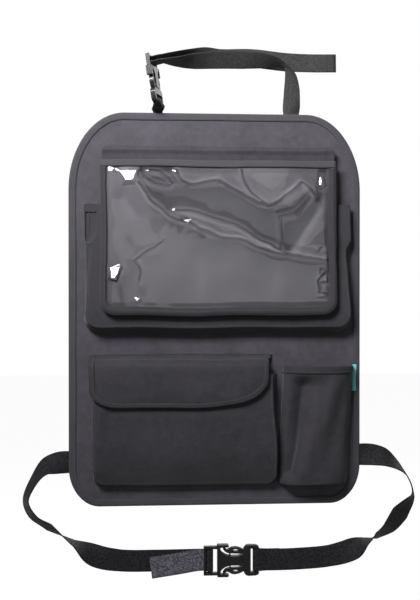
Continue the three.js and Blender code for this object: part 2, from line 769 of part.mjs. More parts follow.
// Stations round a bar, by angle in eighths of a turn from the side towards the adjuster's end, the back first
function roundBar(middle, half, thick, eighths) {
  const away = barClearance + webbing / 2;
  return eighths.map((eighth) => {
    const angle = eighth * Math.PI / 4;
    return [middle - (half + away) * Math.cos(angle), (thick + away) * Math.sin(angle)];
  });
}

// Straps. Their free routes are chosen by hand as [X, Y, Z, width direction], X and Z from a place on the
// panel's edge. Each strap starts inside the binding.
const route = (from, width, places) => places.map(
  ([x, y, z, a, b, c]) => [point(from[0] + x, y, from[1] + z), point(a, b, c), width],
);
function anchored(place, inwards, direction, width) {
  const edge = point(...place);
  const straight = [webbingHold, webbingHold / 2, 0, -webbingFree];
  return straight.map((depth) => [edge.clone().addScaledVector(inwards, depth), direction, width]);
}

function buildLowerStraps() {
  const place = point(lowerBuckleX, lowerBuckleY, -top - lowerBuckleDrop);
  const { size, station } = placedBuckle('lower_buckle', lowerWeb, place);
  const onBar = size.barHalf + barClearance + webbing / 2;
  const behindTail = onBar + webbing + seam;
  const edgeDown = ([at, across, width]) => [at, across.clone().negate(), width];
  const threaded = (places) => places.map(station).map(edgeDown);
  const down = point(0, 0, -1);

  addPart('lower_strap_left', ribbon([
    ...anchored([-side, webbingY, lowerLeftAnchor - top], point(1, 0, 0), down, lowerWeb),
    ...route([-side, -top], lowerWeb, [
      [-14, -5, 60.6, 0, -0.4, -0.92],
      [-32, -10.5, 55, 0.12, -0.8, -0.6],
      [-47, -14, 36, 0.3, -0.93, -0.2],
      [-56, -15, 12, 0.36, -0.93, 0.09],
      [-47, -15, -9, 0.5, -0.85, 0.15],
      [-25, -15, -24, 0.5, -0.81, 0.3],
      [8, -15, -46, 0, -1, 0],
      [37, -13, -64, -0.54, -0.4, -0.72],
    ]),
    ...route([0, -top], lowerWeb, [
      [-131, -9, -72, 0, 0, -1],
      [-80, -6.5, -74, 0, 0, -1],
    ]),
    ...threaded([
      [-22, behindTail],
      [size.outerBar, behindTail],
      ...roundBar(size.innerBar, size.innerHalf, size.barHalf, [2, 3, 4, 5, 6, 7]),
      ...roundBar(size.outerBar, size.outerHalf, size.barHalf, [3, 2]),
      [-7, onBar],
    ]),
    ...route([0, -top], lowerWeb, [
      [-50, -9.4, -77.5, -0.1, 0, -1],
      [-89, -11, -82.5, -0.12, 0, -1],
    ]),
  ], 2), webbingFinish);

  const sewn = (webbing + seam) / 2;
  const bar = size.endBar;
  addPart('lower_strap_right', ribbon([
    ...anchored([side, webbingY, lowerRightAnchor - top], point(-1, 0, 0), down, lowerWeb),
    ...route([side, -top], lowerWeb, [
      [19, -5, 66.7, 0, -0.4, -0.92],
      [37, -10.5, 62, -0.1, -0.75, -0.66],
      [61, -14, 43, -0.24, -0.96, 0.11],
      [71, -15, 14, -0.3, -0.86, 0.4],
      [54, -15, -12, -0.85, -0.35, 0.3],
      [39, -15, -31, -0.8, -0.5, 0.2],
      [21, -15, -43, -0.5, -0.8, 0.3],
      [7, -15, -50, 0, -1, 0],
      [-14, -13, -62, 0.5, -0.4, -0.75],
    ]),
    ...route([0, -top], lowerWeb, [
      [157, -12, -70, 0, 0, -1],
      [110, -11.9, -73.5, 0, 0, -1],
    ]),
    ...threaded([
      [bar + 26, -sewn],
      [bar + 13, -sewn],
      [bar + 6.5, -onBar + sewn],
      ...roundBar(bar, size.endHalf, size.barHalf, [6, 7, 8, 9, 10]),
      [bar + 6.5, onBar - sewn],
      [bar + 13, sewn],
      [bar + 32, sewn],
    ]),
  ], 2), webbingFinish);
}

function buildUpperStraps() {
  const place = point(upperBuckleX, upperBuckleY, top + upperBuckleRise);
  const { size, station } = placedBuckle('upper_buckle', upperWeb, place, upperBuckleLean, upperBuckleTurn);
  const onBar = size.barHalf + barClearance + webbing / 2;
  const edgeForward = ([at, across, width]) => [at, across.clone().negate(), width];
  const entry = size.innerBar + size.innerHalf + barClearance + webbing / 2;
  const right = point(1, 0, 0);

  addPart('upper_strap_long', ribbon([
    ...anchored([upperLongAnchor, webbingY, top], point(0, 0, -1), right, upperLongNeck),
    ...route([0, top], upperWeb, [
      [104, -6, 14, 0.85, -0.5, 0],
      [103.5, -12, 32, 0.74, -0.67, 0],
      [101, -17, 49, 0.45, -0.9, 0],
      [95, -19, 60.5, 0, -1, 0],
      [84, -18, 67, 0, -0.95, 0.3],
      [66, -16, 70, 0, -0.75, 0.66],
      [35, -13.5, 71, 0, -0.55, 0.84],
      [0, -13.5, 70.5, 0, -0.55, 0.84],
      [-30, -15, 68, 0, -0.75, 0.66],
      [-52, -17, 66.5, -0.1, -0.95, 0.3],
    ]),
    ...[
      [entry, -16],
      [entry, -6],
      ...roundBar(size.innerBar, size.innerHalf, size.barHalf, [4, 3, 2, 1, 0]),
      [size.between, -6],
      [size.between, -16],
    ].map(station).map(edgeForward),
    ...route([0, top], upperWeb, [
      [-52, -14.5, 74, 0, -0.92, 0.4],
      [-34, -10, 75.5, 0, -0.75, 0.66],
      [-15, -6.5, 77, 0, -0.5, 0.87],
      [5, -4.2, 75, 0, -0.2, 0.98],
      [49, -3.4, 76, 0, -0.1, 0.99],
      [96, -3, 71.7, 0, -0.05, 1],
      [130, -3.2, 70.7, 0, 0, 1],
      [166, -4, 71, 0, 0, 1],
    ]),
  ], 2), webbingFinish);

  const bar = size.endBar;
  addPart('upper_strap_short', ribbon([
    ...anchored([upperShortAnchor, webbingY, top], point(0, 0, -1), right, upperShortNeck),
    ...route([0, top], upperShortWidth, [
      [-79, -7, 4.4, 1, 0.05, 0],
      [-77.8, -13.3, 6.7, 0.92, 0.35, 0],
    ]),
    ...[
      [bar + 3, -onBar],
      ...roundBar(bar, size.endHalf, size.barHalf, [6, 7, 8, 9, 10]),
      [bar + 5, onBar - seam],
    ].map(station),
  ], 2), webbingFinish);
}

buildPanel();
buildBigPocket();
buildSleeve();
buildFlapPocket();
buildBottlePocket();
buildTag();
buildLowerStraps();
buildUpperStraps();

export default group;
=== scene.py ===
# Looks of a car seat back organizer: cloth panel, clear tablet sleeve, pockets, webbing and buckles.
# Pieces are drawn in millimetres and made in metres, +Z up. X runs to the viewer's right, the front
# faces -Y, and the lining's back lies at y = 0.

import logging
import math
from dataclasses import dataclass, field
from enum import Enum
from typing import Callable, Optional, Sequence

import bmesh
import bpy
import numpy as np
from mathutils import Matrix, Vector, noise

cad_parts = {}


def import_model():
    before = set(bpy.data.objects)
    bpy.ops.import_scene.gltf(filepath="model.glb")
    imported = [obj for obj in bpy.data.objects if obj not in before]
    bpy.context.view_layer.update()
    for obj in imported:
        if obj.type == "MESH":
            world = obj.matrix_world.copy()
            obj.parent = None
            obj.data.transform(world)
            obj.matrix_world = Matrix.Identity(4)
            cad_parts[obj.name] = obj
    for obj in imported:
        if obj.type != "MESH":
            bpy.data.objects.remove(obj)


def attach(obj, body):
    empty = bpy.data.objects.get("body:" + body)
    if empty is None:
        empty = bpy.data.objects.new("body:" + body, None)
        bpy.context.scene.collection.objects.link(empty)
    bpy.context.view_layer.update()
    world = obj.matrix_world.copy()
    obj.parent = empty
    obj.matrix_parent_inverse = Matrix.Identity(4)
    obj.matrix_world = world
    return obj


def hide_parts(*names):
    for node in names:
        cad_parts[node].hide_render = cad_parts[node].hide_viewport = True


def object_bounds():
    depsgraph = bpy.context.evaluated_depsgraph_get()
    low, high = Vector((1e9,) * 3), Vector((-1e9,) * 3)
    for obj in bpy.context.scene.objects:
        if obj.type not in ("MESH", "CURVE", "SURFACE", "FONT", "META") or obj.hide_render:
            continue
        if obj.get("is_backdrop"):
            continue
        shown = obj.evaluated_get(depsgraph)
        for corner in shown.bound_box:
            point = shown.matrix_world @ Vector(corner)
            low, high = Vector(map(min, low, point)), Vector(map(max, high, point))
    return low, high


LOG = logging.getLogger("organizer")
MM = 0.001
BODY = "root"
SEED_STEP = 17.31
NEVER = 9.0

Rgb = tuple[float, float, float]
Pair = tuple[float, float]
Field = Callable[[np.ndarray, np.ndarray], np.ndarray]

CLOTH_THICK = 1.0
TAPE_THICK = 0.8
FILM_THICK = 0.4
HOOK_THICK = 1.0
SEAM = 0.3
REACH = SEAM + TAPE_THICK
SIDE, TOP = 200.0, 268.0
PANEL_FRONT = -4.1
POCKET_BACK = PANEL_FRONT - SEAM


class Held(Enum):
    """How a piece of cloth is held once it is sewn."""

    STRETCHED = "stretched"
    HUNG = "hung"
    FOLDED = "folded"


class Slot(Enum):
    """Material slots of the record."""

    CLOTH = "black_cloth"
    LINING = "lining"
    BOARD = "stiffener"
    TAPE = "binding_tape"
    FILM = "clear_film"
    WEBBING = "webbing"
    PLASTIC = "buckle_plastic"
    HOOK_LOOP = "hook_and_loop"
    RIBBON = "teal_ribbon"


class Value:
    """One output of a shader node, with arithmetic that adds Math nodes."""

    def __init__(self, shader: "Shader", socket: bpy.types.NodeSocket) -> None:
        """Wraps a socket."""
        self.shader = shader
        self.socket = socket

    def _math(self, operation: str, *values: "Value | float") -> "Value":
        """Adds one Math node."""
        return self.shader.node("ShaderNodeMath", {"operation": operation}, dict(enumerate(values)))

    def __add__(self, other: "Value | float") -> "Value":
        """Sum."""
        return self._math("ADD", self, other)

    def __radd__(self, other: float) -> "Value":
        """Sum with a number on the left."""
        return self._math("ADD", other, self)

    def __sub__(self, other: "Value | float") -> "Value":
        """Difference."""
        return self._math("SUBTRACT", self, other)

    def __rsub__(self, other: float) -> "Value":
        """Difference from a number."""
        return self._math("SUBTRACT", other, self)

    def __mul__(self, other: "Value | float") -> "Value":
        """Product."""
        return self._math("MULTIPLY", self, other)

    def __rmul__(self, other: float) -> "Value":
        """Product with a number on the left."""
        return self._math("MULTIPLY", other, self)

    def sine(self, length: float) -> "Value":
        """Sine wave of a given length."""
        return self._math("SINE", self * (2 * math.pi / length))

    def ribs(self, pitch: float) -> "Value":
        """Ribs of a given pitch, from 0 in the valleys to 1 on top."""
        return self.sine(pitch) * 0.5 + 0.5

    def size(self) -> "Value":
        """Absolute value."""
        return self._math("ABSOLUTE", self)

    def power(self, exponent: float) -> "Value":
        """Power with a fixed exponent."""
        return self._math("POWER", self, exponent)

    def above(self, limit: float) -> "Value":
        """One where this is above the limit, else zero."""
        return self._math("GREATER_THAN", self, limit)

    def remainder(self, step: float) -> "Value":
        """What is left over a whole number of steps."""
        return self._math("FLOORED_MODULO", self, step)

    def between(self, low: float, high: float, to_low: float = 0.0, to_high: float = 1.0) -> "Value":
        """Maps a range to another with smooth ends."""
        return self.shader.node(
            "ShaderNodeMapRange", {"interpolation_type": "SMOOTHSTEP"},
            {0: self, 1: low, 2: high, 3: to_low, 4: to_high},
        )


def shade(color: Rgb, factor: float) -> Rgb:
    """A colour made darker or paler."""
    return tuple(factor * part for part in color)


class Shader:
    """Nodes of one material or of the world, built from plain calls."""

    def __init__(self, name: str, world: bool = False) -> None:
        """Makes an empty material, or an empty world.

        Args:
            name: Its name.
            world: Whether it is the world.
        """
        self.owner = (bpy.data.worlds if world else bpy.data.materials).new(name)
        self.output = "ShaderNodeOutputWorld" if world else "ShaderNodeOutputMaterial"
        self.owner.use_nodes = True
        self.tree = self.owner.node_tree
        self.tree.nodes.clear()

    def node(self, kind: str, settings: dict, inputs: dict, output: "int | str" = 0) -> Value:
        """Adds one node.

        Args:
            kind: The node's type.
            settings: Its own settings, set first.
            inputs: Values or links by socket name or number.
            output: Which output to return.

        Returns:
            The chosen output.
        """
        made = self.tree.nodes.new(kind)
        for key, value in settings.items():
            setattr(made, key, value)
        for key, value in inputs.items():
            socket = made.inputs[key]
            if isinstance(value, Value):
                self.tree.links.new(value.socket, socket)
            elif isinstance(value, tuple) and len(socket.default_value) == 4:
                socket.default_value = (*value, 1.0)
            else:
                socket.default_value = value
        return Value(self, made.outputs[output])

    def cloth_coordinates(self) -> tuple[Value, Value]:
        """Distances along and across the cloth, in metres."""
        uv = self.node("ShaderNodeTexCoord", {}, {}, "UV")
        return tuple(self.node("ShaderNodeSeparateXYZ", {}, {0: uv}, axis) for axis in (0, 1))

    def place(self) -> Value:
        """Place on the object, in metres."""
        return self.node("ShaderNodeTexCoord", {}, {}, "Object")

    def blotches(self, size: float, detail: float = 3.0, roughness: float = 0.5) -> Value:
        """Soft noise over the surface."""
        return self.node(
            "ShaderNodeTexNoise", {},
            {"Vector": self.place(), "Scale": 1 / size, "Detail": detail, "Roughness": roughness},
        )

    def mix(self, factor: Value, low: "Value | Rgb", high: "Value | Rgb") -> Value:
        """Mixes two colours."""
        return self.node("ShaderNodeMix", {"data_type": "RGBA"}, {0: factor, 6: low, 7: high}, 2)

    def bump(self, height: Value, depth: float, strength: float = 1.0) -> Value:
        """Bump from a height."""
        return self.node(
            "ShaderNodeBump", {}, {"Strength": strength, "Distance": depth, "Height": height}, "Normal",
        )

    def surface(self, inputs: dict) -> Value:
        """Adds the main shader."""
        return self.node("ShaderNodeBsdfPrincipled", {}, inputs, "BSDF")

    def finish(self, shader: Value) -> "bpy.types.Material | bpy.types.World":
        """Links the surface.

        Args:
            shader: The shader that the surface shows.

        Returns:
            The finished material or world.
        """
        out = self.tree.nodes.new(self.output)
        self.tree.links.new(shader.socket, out.inputs["Surface"])
        return self.owner


@dataclass(frozen=True)
class ClothFinish:
    """Plain-weave coated polyester."""

    slot: Slot
    color: Rgb
    thread: float = 0.55 * MM
    roughness: float = 0.72
    sheen: float = 0.16
    relief: float = 0.12 * MM

    def material(self) -> bpy.types.Material:
        """Weave, soft tone changes and a dull sheen."""
        shader = Shader(self.slot.value)
        along, across = shader.cloth_coordinates()
        weave = along.sine(self.thread) * across.sine(self.thread) * 0.5 + 0.5
        tone = shader.blotches(60 * MM) * 0.45 + shader.blotches(9 * MM, 4.0, 0.7) * 0.55
        tone = tone.between(0.34, 0.66)
        color = shader.mix(tone, shade(self.color, 0.78), shade(self.color, 1.24))
        color = shader.mix((1 - weave) * 0.35, color, shade(self.color, 0.55))
        fuzz = shader.blotches(1.6 * MM, 2.0) * 0.35 + weave * 0.65
        surface = shader.surface({
            "Base Color": color,
            "Roughness": tone.between(0.3, 0.7, self.roughness - 0.06, self.roughness + 0.08),
            "Sheen Weight": self.sheen,
            "Sheen Roughness": 0.45,
            "Specular IOR Level": 0.2,
            "Normal": shader.bump(fuzz, self.relief, 0.7),
        })
        return shader.finish(surface)


@dataclass(frozen=True)
class TapeFinish:
    """Ribbed binding tape: fine ribs across its run."""

    slot: Slot
    color: Rgb
    rib: float = 0.9 * MM
    roughness: float = 0.7
    sheen: float = 0.16
    relief: float = 0.16 * MM

    def material(self) -> bpy.types.Material:
        """Ribs with a darker valley between them."""
        shader = Shader(self.slot.value)
        along, across = shader.cloth_coordinates()
        ribs = along.ribs(self.rib)
        threads = across.ribs(0.5 * self.rib)
        tone = shader.blotches(25 * MM)
        color = shader.mix(tone, shade(self.color, 0.8), shade(self.color, 1.3))
        color = shader.mix((1 - ribs) * 0.45, color, shade(self.color, 0.4))
        surface = shader.surface({
            "Base Color": color,
            "Roughness": self.roughness,
            "Sheen Weight": self.sheen,
            "Sheen Roughness": 0.4,
            "Specular IOR Level": 0.22,
            "Normal": shader.bump(ribs * 0.75 + threads * 0.25, self.relief, 0.8),
        })
        return shader.finish(surface)


@dataclass(frozen=True)
class WebbingFinish:
    """Woven strap: small chevrons between two firm edges."""

    slot: Slot
    color: Rgb
    pale: Rgb
    width: float
    tail: float = NEVER
    sewn: float = NEVER
    chevron: float = 3.4 * MM
    pick: float = 2.2 * MM
    relief: float = 0.4 * MM

    def material(self) -> bpy.types.Material:
        """Chevron weave with paler thread tops, a painted highlight."""
        shader = Shader(f"{self.slot.value}_{round(self.width / MM)}")
        along, across = shader.cloth_coordinates()
        zigzag = (across.remainder(2 * self.chevron) - self.chevron).size()
        slant = along + zigzag * 0.8
        weave = slant.ribs(self.pick) * 0.6 + across.ribs(0.5 * self.chevron) * 0.4
        border = (across.size() - (self.width / 2 - 1.6 * MM)).between(0, 0.6 * MM)
        speckle = shader.blotches(2.4 * MM, 2.0, 0.8).between(0.36, 0.64)
        # Painted highlight: the thread tops are paler than the valleys.
        color = shader.mix(weave.power(1.4) * speckle, self.color, self.pale)
        other_face = shader.mix(weave * speckle.between(0, 1, 0.3, 1), self.color, shade(self.pale, 6.6))
        color = shader.mix(along.above(self.tail), color, other_face)
        color = shader.mix(border * 0.6, color, self.color)
        rows = (along - self.sewn).size() - 4 * MM
        color = shader.mix((0.9 * MM - rows.size()).between(0, 0.5 * MM) * 0.75, color, self.color)
        surface = shader.surface({
            "Base Color": color,
            "Roughness": weave.between(0, 1, 0.8, 0.58),
            "Sheen Weight": 0.12,
            "Sheen Roughness": 0.4,
            "Specular IOR Level": 0.25,
            "Normal": shader.bump(weave, self.relief, 0.9),
        })
        return shader.finish(surface)


@dataclass(frozen=True)
class FilmFinish:
    """Clear soft film with a faint haze."""

    slot: Slot = Slot.FILM
    color: Rgb = (0.60, 0.57, 0.63)
    haze: float = 0.012
    roughness: float = 0.07

    def material(self) -> bpy.types.Material:
        """Nearly clear and glossy, with fine ripples, light scuffs and a painted reflection."""
        shader = Shader(self.slot.value)
        ripple = shader.blotches(22 * MM, 4.0, 0.55)
        # The mesh attribute read here holds a painted reflection; it raises the film's pale alpha in patches.
        milk = shader.node("ShaderNodeAttribute", {"attribute_name": "milk"}, {}, "Fac")
        scuff = shader.blotches(2.2 * MM, 5.0, 0.75).between(0.6, 0.85)
        surface = shader.surface({
            "Base Color": self.color,
            "Roughness": scuff.between(0, 1, self.roughness, 0.3),
            "Alpha": self.haze + scuff * 0.03 + milk * 0.3,
            "IOR": 1.5,
            "Normal": shader.bump(ripple, 0.5 * MM, 0.4),
        })
        gloss = shader.node(
            "ShaderNodeBsdfGlossy", {}, {"Color": (0.9, 0.9, 0.92), "Roughness": self.roughness},
        )
        fresnel = shader.node("ShaderNodeFresnel", {}, {"IOR": 1.5})
        return shader.finish(shader.node("ShaderNodeMixShader", {}, {0: fresnel, 1: surface, 2: gloss}))


@dataclass(frozen=True)
class PlasticFinish:
    """Moulded black plastic with a satin gloss."""

    slot: Slot = Slot.PLASTIC
    color: Rgb = (0.012, 0.012, 0.013)
    roughness: float = 0.32

    def material(self) -> bpy.types.Material:
        """Fine spark-eroded grain and a few rubbed spots."""
        shader = Shader(self.slot.value)
        grain = shader.blotches(0.35 * MM, 2.0)
        rubbed = shader.blotches(6 * MM, 4.0, 0.7).between(0.55, 0.75)
        color = shader.mix(rubbed * 0.6, self.color, shade(self.color, 2.4))
        surface = shader.surface({
            "Base Color": color,
            "Roughness": rubbed.between(0, 1, self.roughness, self.roughness + 0.16),
            "Specular IOR Level": 0.55,
            "Normal": shader.bump(grain, 0.03 * MM, 0.5),
        })
        return shader.finish(surface)


@dataclass(frozen=True)
class BristleFinish:
    """Hook-and-loop tape: a dense field of tiny loops."""

    slot: Slot = Slot.HOOK_LOOP
    color: Rgb = (0.012, 0.012, 0.013)
    row: float = 1.3 * MM

    def material(self) -> bpy.types.Material:
        """Rough pile seen as rows of specks."""
        shader = Shader(self.slot.value)
        along, across = shader.cloth_coordinates()
        rows = along.sine(self.row) * across.sine(self.row) * 0.5 + 0.5
        pile = rows * 0.5 + shader.blotches(0.5 * MM, 2.0, 0.8) * 0.5
        color = shader.mix(pile, self.color, shade(self.color, 3.5))
        surface = shader.surface({
            "Base Color": color, "Roughness": 0.92, "Normal": shader.bump(pile, 0.5 * MM, 1.0),
        })
        return shader.finish(surface)


@dataclass(frozen=True)
class BoardFinish:
    """Grey-brown stiffener board inside the panel."""

    slot: Slot = Slot.BOARD
    color: Rgb = (0.16, 0.13, 0.10)

    def material(self) -> bpy.types.Material:
        """Pressed fibres."""
        shader = Shader(self.slot.value)
        fibre = shader.blotches(1.5 * MM, 5.0, 0.8)
        color = shader.mix(fibre, shade(self.color, 0.7), shade(self.color, 1.3))
        surface = shader.surface({
            "Base Color": color, "Roughness": 0.9, "Normal": shader.bump(fibre, 0.2 * MM, 0.6),
        })
        return shader.finish(surface)


@dataclass(frozen=True)
class ThreadFinish:
    """Sewing thread."""

    slot: Slot
    color: Rgb = (0.06, 0.057, 0.066)

    def material(self) -> bpy.types.Material:
        """Plain twisted thread."""
        shader = Shader("thread")
        tone = shader.blotches(3 * MM)
        color = shader.mix(tone, shade(self.color, 0.7), shade(self.color, 1.5))
        return shader.finish(shader.surface({
            "Base Color": color, "Roughness": 0.6, "Sheen Weight": 0.3, "Normal": shader.bump(tone, 0.1 * MM),
        }))


@dataclass(frozen=True)
class RibbonFinish:
    """Satin ribbon of the tag."""

    slot: Slot = Slot.RIBBON
    color: Rgb = (0.17, 0.66, 0.64)
    rib: float = 0.7 * MM

    def material(self) -> bpy.types.Material:
        """Fine ribs with a silky gloss."""
        shader = Shader(self.slot.value)
        _, across = shader.cloth_coordinates()
        ribs = across.ribs(self.rib)
        color = shader.mix(ribs * 0.5, self.color, shade(self.color, 0.75))
        return shader.finish(shader.surface({
            "Base Color": color, "Roughness": shader.blotches(5 * MM).between(0.3, 0.7, 0.4, 0.52),
            "Sheen Weight": 0.3, "Normal": shader.bump(ribs, 0.06 * MM, 0.6),
        }))


SQUARE: Pair = (0.4, 0.4)
NUDGE = 0.02


@dataclass(frozen=True)
class Outline:
    """Outline of a cut piece in its own two directions, x across and t up, in millimetres."""

    left: float
    right: float
    bottom: float
    top: float
    low_left: Pair = SQUARE
    low_right: Pair = SQUARE
    top_right: Pair = SQUARE
    top_left: Pair = SQUARE

    def drawn_in(self, inset: float, top: Optional[float] = None) -> "Outline":
        """Same outline, smaller all round.

        Args:
            inset: How far its sides and bottom move in.
            top: How far its top moves in, if that differs.

        Returns:
            The smaller outline.
        """
        corners = (
            tuple(max(radius - inset, SQUARE[0]) for radius in corner)
            for corner in (self.low_left, self.low_right, self.top_right, self.top_left)
        )
        return Outline(
            self.left + inset, self.right - inset, self.bottom + inset,
            self.top - (inset if top is None else top), *corners,
        )

    def span(self, t: np.ndarray) -> tuple[np.ndarray, np.ndarray]:
        """Left and right end of each level.

        Args:
            t: The levels.

        Returns:
            Both ends.
        """
        def turned(low: Pair, high: Pair) -> np.ndarray:
            """How far one side's two corners cut in at each level."""
            rise = np.clip((low[1] - (t - self.bottom)) / low[1], 0, 1)
            fall = np.clip((high[1] - (self.top - t)) / high[1], 0, 1)
            return low[0] * (1 - np.sqrt(1 - rise ** 2)) + high[0] * (1 - np.sqrt(1 - fall ** 2))

        left = self.left + turned(self.low_left, self.top_left)
        return left, self.right - turned(self.low_right, self.top_right)

    def levels(self, step: float) -> np.ndarray:
        """Levels of the rows, close together round the corners.

        Args:
            step: Distance between rows on the straight part.

        Returns:
            The levels from bottom to top.
        """
        low = max(self.low_left[1], self.low_right[1])
        high = max(self.top_left[1], self.top_right[1])
        rest = self.top - self.bottom - low - high
        turn = lambda size: np.sin(np.linspace(0, math.pi / 2, 3 + int(size / step * 1.6))) * size
        straight = np.linspace(self.bottom + low, self.top - high, 2 + int(rest / step))
        return np.unique(np.round(np.concatenate([
            self.bottom + low - turn(low), straight, self.top - high + turn(high),
        ]), 4))

    def path(self, closed: bool, per_side: int = 40, per_corner: int = 14) -> tuple[np.ndarray, np.ndarray]:
        """Points down the left side, along the bottom, up the right side and, if closed, back along the top.

        Args:
            closed: Whether the path takes in the top.
            per_side: Points on each straight side.
            per_corner: Points round each corner.

        Returns:
            The points and their outward directions.
        """
        points, outward = [], []

        def line(start: Pair, end: Pair, normal: Pair) -> None:
            """Adds a straight side."""
            share = np.linspace(0, 1, per_side, endpoint=False)[:, None]
            points.append(np.array(start) + (np.array(end) - start) * share)
            outward.append(np.tile(normal, (per_side, 1)))

        def arc(x: float, t: float, radii: Pair, start: float) -> None:
            """Adds a round corner that starts at an angle in degrees."""
            angle = np.radians(start) + np.linspace(0, math.pi / 2, per_corner, endpoint=False)
            ray = np.stack([np.cos(angle), np.sin(angle)], axis=1)
            points.append(np.array((x, t)) + ray * radii)
            normal = ray * radii[::-1]
            outward.append(normal / np.linalg.norm(normal, axis=1, keepdims=True))

        left, right, bottom, top = self.left, self.right, self.bottom, self.top
        a, b, c, d = self.low_left, self.low_right, self.top_right, self.top_left
        line((left, top - d[1]), (left, bottom + a[1]), (-1, 0))
        arc(left + a[0], bottom + a[1], a, 180)
        line((left + a[0], bottom), (right - b[0], bottom), (0, -1))
        arc(right - b[0], bottom + b[1], b, 270)
        line((right, bottom + b[1]), (right, top - c[1]), (1, 0))
        if closed:
            arc(right - c[0], top - c[1], c, 0)
            line((right - c[0], top), (left + d[0], top), (0, 1))
            arc(left + d[0], top - d[1], d, 90)
        else:
            points.append(np.array([[right, top - c[1]]]))
            outward.append(np.array([[1.0, 0.0]]))
        return np.concatenate(points), np.concatenate(outward)


def lifted(surface: Field, x: np.ndarray, t: np.ndarray, offset: "np.ndarray | float") -> np.ndarray:
    """Points at an offset from a surface, positive towards its front.

    Args:
        surface: The surface.
        x, t: Places across and up it.
        offset: Distance from it.

    Returns:
        The points.
    """
    across = surface(x + NUDGE, t) - surface(x - NUDGE, t)
    up = surface(x, t + NUDGE) - surface(x, t - NUDGE)
    normal = np.cross(across, up)
    normal /= np.linalg.norm(normal, axis=-1, keepdims=True)
    return surface(x, t) + normal * np.broadcast_to(offset, np.shape(x))[..., None]


def flat_at(y: float) -> Field:
    """Upright plane."""
    return lambda x, t: np.stack([x + 0 * t, np.full(np.shape(x + t), y), t + 0 * x], axis=-1)


def ripples(x: np.ndarray, t: np.ndarray, size: float, seed: int, stretch: float = 1.0) -> np.ndarray:
    """Smooth noise over a piece.

    Args:
        x, t: Places across and up it.
        size: Size of a ripple.
        seed: Which noise.
        stretch: How much longer the ripples are upwards than across.

    Returns:
        Values of about -1 to 1.
    """
    flat = zip(np.ravel(x) / size, np.ravel(t) / (size * stretch))
    values = [noise.noise(Vector((u, v, seed * SEED_STEP))) for u, v in flat]
    return np.array(values).reshape(np.shape(x))


def ramp(distance: np.ndarray, width: float) -> np.ndarray:
    """Even rise from 0 to 1 over a width; the distance counts from its foot."""
    return np.clip(distance / width, 0, 1)


def fade(value: np.ndarray, low: np.ndarray, high: np.ndarray, width: float) -> np.ndarray:
    """1 between two limits, falling to 0 at each of them over a width."""
    return ramp(value - low, width) * ramp(high - value, width)


def bump_at(x: np.ndarray, t: np.ndarray, middle: Pair, size: Pair, turn: float = 0.0) -> np.ndarray:
    """Soft mound of height 1.

    Args:
        x, t: Places across and up the piece.
        middle: Its middle.
        size: Its half lengths along and across.
        turn: Angle of its length, in degrees.

    Returns:
        The mound's height at each place.
    """
    angle = math.radians(turn)
    along = (x - middle[0]) * math.cos(angle) + (t - middle[1]) * math.sin(angle)
    over = -(x - middle[0]) * math.sin(angle) + (t - middle[1]) * math.cos(angle)
    return np.exp(-(along / size[0]) ** 2 - (over / size[1]) ** 2)


def away_from(x: np.ndarray, t: np.ndarray, line: Sequence[Pair]) -> np.ndarray:
    """How far places lie from a line of straight runs.

    Args:
        x, t: Places across and up the cloth.
        line: The line's points.

    Returns:
        The distances.
    """
    best = np.full(np.shape(x), 1e9)
    for (x0, t0), (x1, t1) in zip(line, line[1:]):
        dx, dt = x1 - x0, t1 - t0
        share = np.clip(((x - x0) * dx + (t - t0) * dt) / (dx * dx + dt * dt), 0, 1)
        best = np.minimum(best, np.hypot(x - x0 - share * dx, t - t0 - share * dt))
    return best


def patch(x: np.ndarray, t: np.ndarray, corners: Sequence[Pair], soft: float) -> np.ndarray:
    """Area with a soft edge.

    Args:
        x, t: Places across and up the cloth.
        corners: The area's corners.
        soft: Width of its edge.

    Returns:
        0 outside, 1 inside.
    """
    ring = [*corners, corners[0]]
    inside = np.zeros(np.shape(x), dtype=bool)
    for (x0, t0), (x1, t1) in zip(ring, ring[1:]):
        if t0 != t1:
            inside ^= ((t0 > t) != (t1 > t)) & (x < x0 + (t - t0) * (x1 - x0) / (t1 - t0))
    away = away_from(x, t, ring)
    return np.clip(0.5 + np.where(inside, away, -away) / soft, 0, 1)


def softened(points: np.ndarray) -> np.ndarray:
    """Gentle unevenness of hand-sewn work, the same for all pieces that meet, none outside the panel.

    Args:
        points: Places on the organizer.

    Returns:
        The same places, moved a little.
    """
    x, y, z = points.T
    inside = ramp(SIDE - 3 - np.abs(x), 12) * ramp(TOP - 4 - np.abs(z), 12)
    out = ramp(-4.5 - y, 12) * inside
    both = lambda size, seed, fine, other: 0.8 * ripples(x, z, size, seed) + 0.3 * ripples(x, z, fine, other)
    moved = points.copy()
    moved[:, 0] += inside * both(55, 41, 21, 44) + out * 1.2 * ripples(x, z, 75, 45)
    moved[:, 2] += inside * both(60, 42, 23, 46) + out * 1.4 * ripples(x, z, 80, 47)
    moved[:, 1] += out * (0.9 * ripples(x, z, 65, 43) + 0.3 * ripples(x, z, 24, 48))
    # The pockets' feet are drawn back to the panel, the bottle pocket's floor less so.
    bottle = ramp(x - 86, 6)
    moved[:, 1] += out * (11.0 - 7.0 * bottle) * ramp(-178 - z, 58) ** 2
    moved[:, 1] += out * 2.5 * ramp(8 - z, 32) ** 2 * (z > -60)
    # The flap pocket's right side leans in towards its mouth, and the flap's edge is lifted.
    low = ramp(-54 - z, 10) * out
    taper = ramp(x - 10, 70) ** 1.5 * (1 - bottle)
    moved[:, 0] -= low * taper * (3.0 + 5.0 * ramp(z + 225, 100) ** 1.3)
    moved[:, 2] += low * 5.0 * bump_at(x, z, (-60, -142), (150, 18)) * ramp(86 - x, 20)
    # The big pocket's sides are drawn in below its mouth.
    waist = ramp(94 - z, 12) * ramp(z + 30, 100) * ramp(np.abs(x) - 160, 14)
    moved[:, 0] -= np.sign(x) * out * 7.0 * waist
    return moved


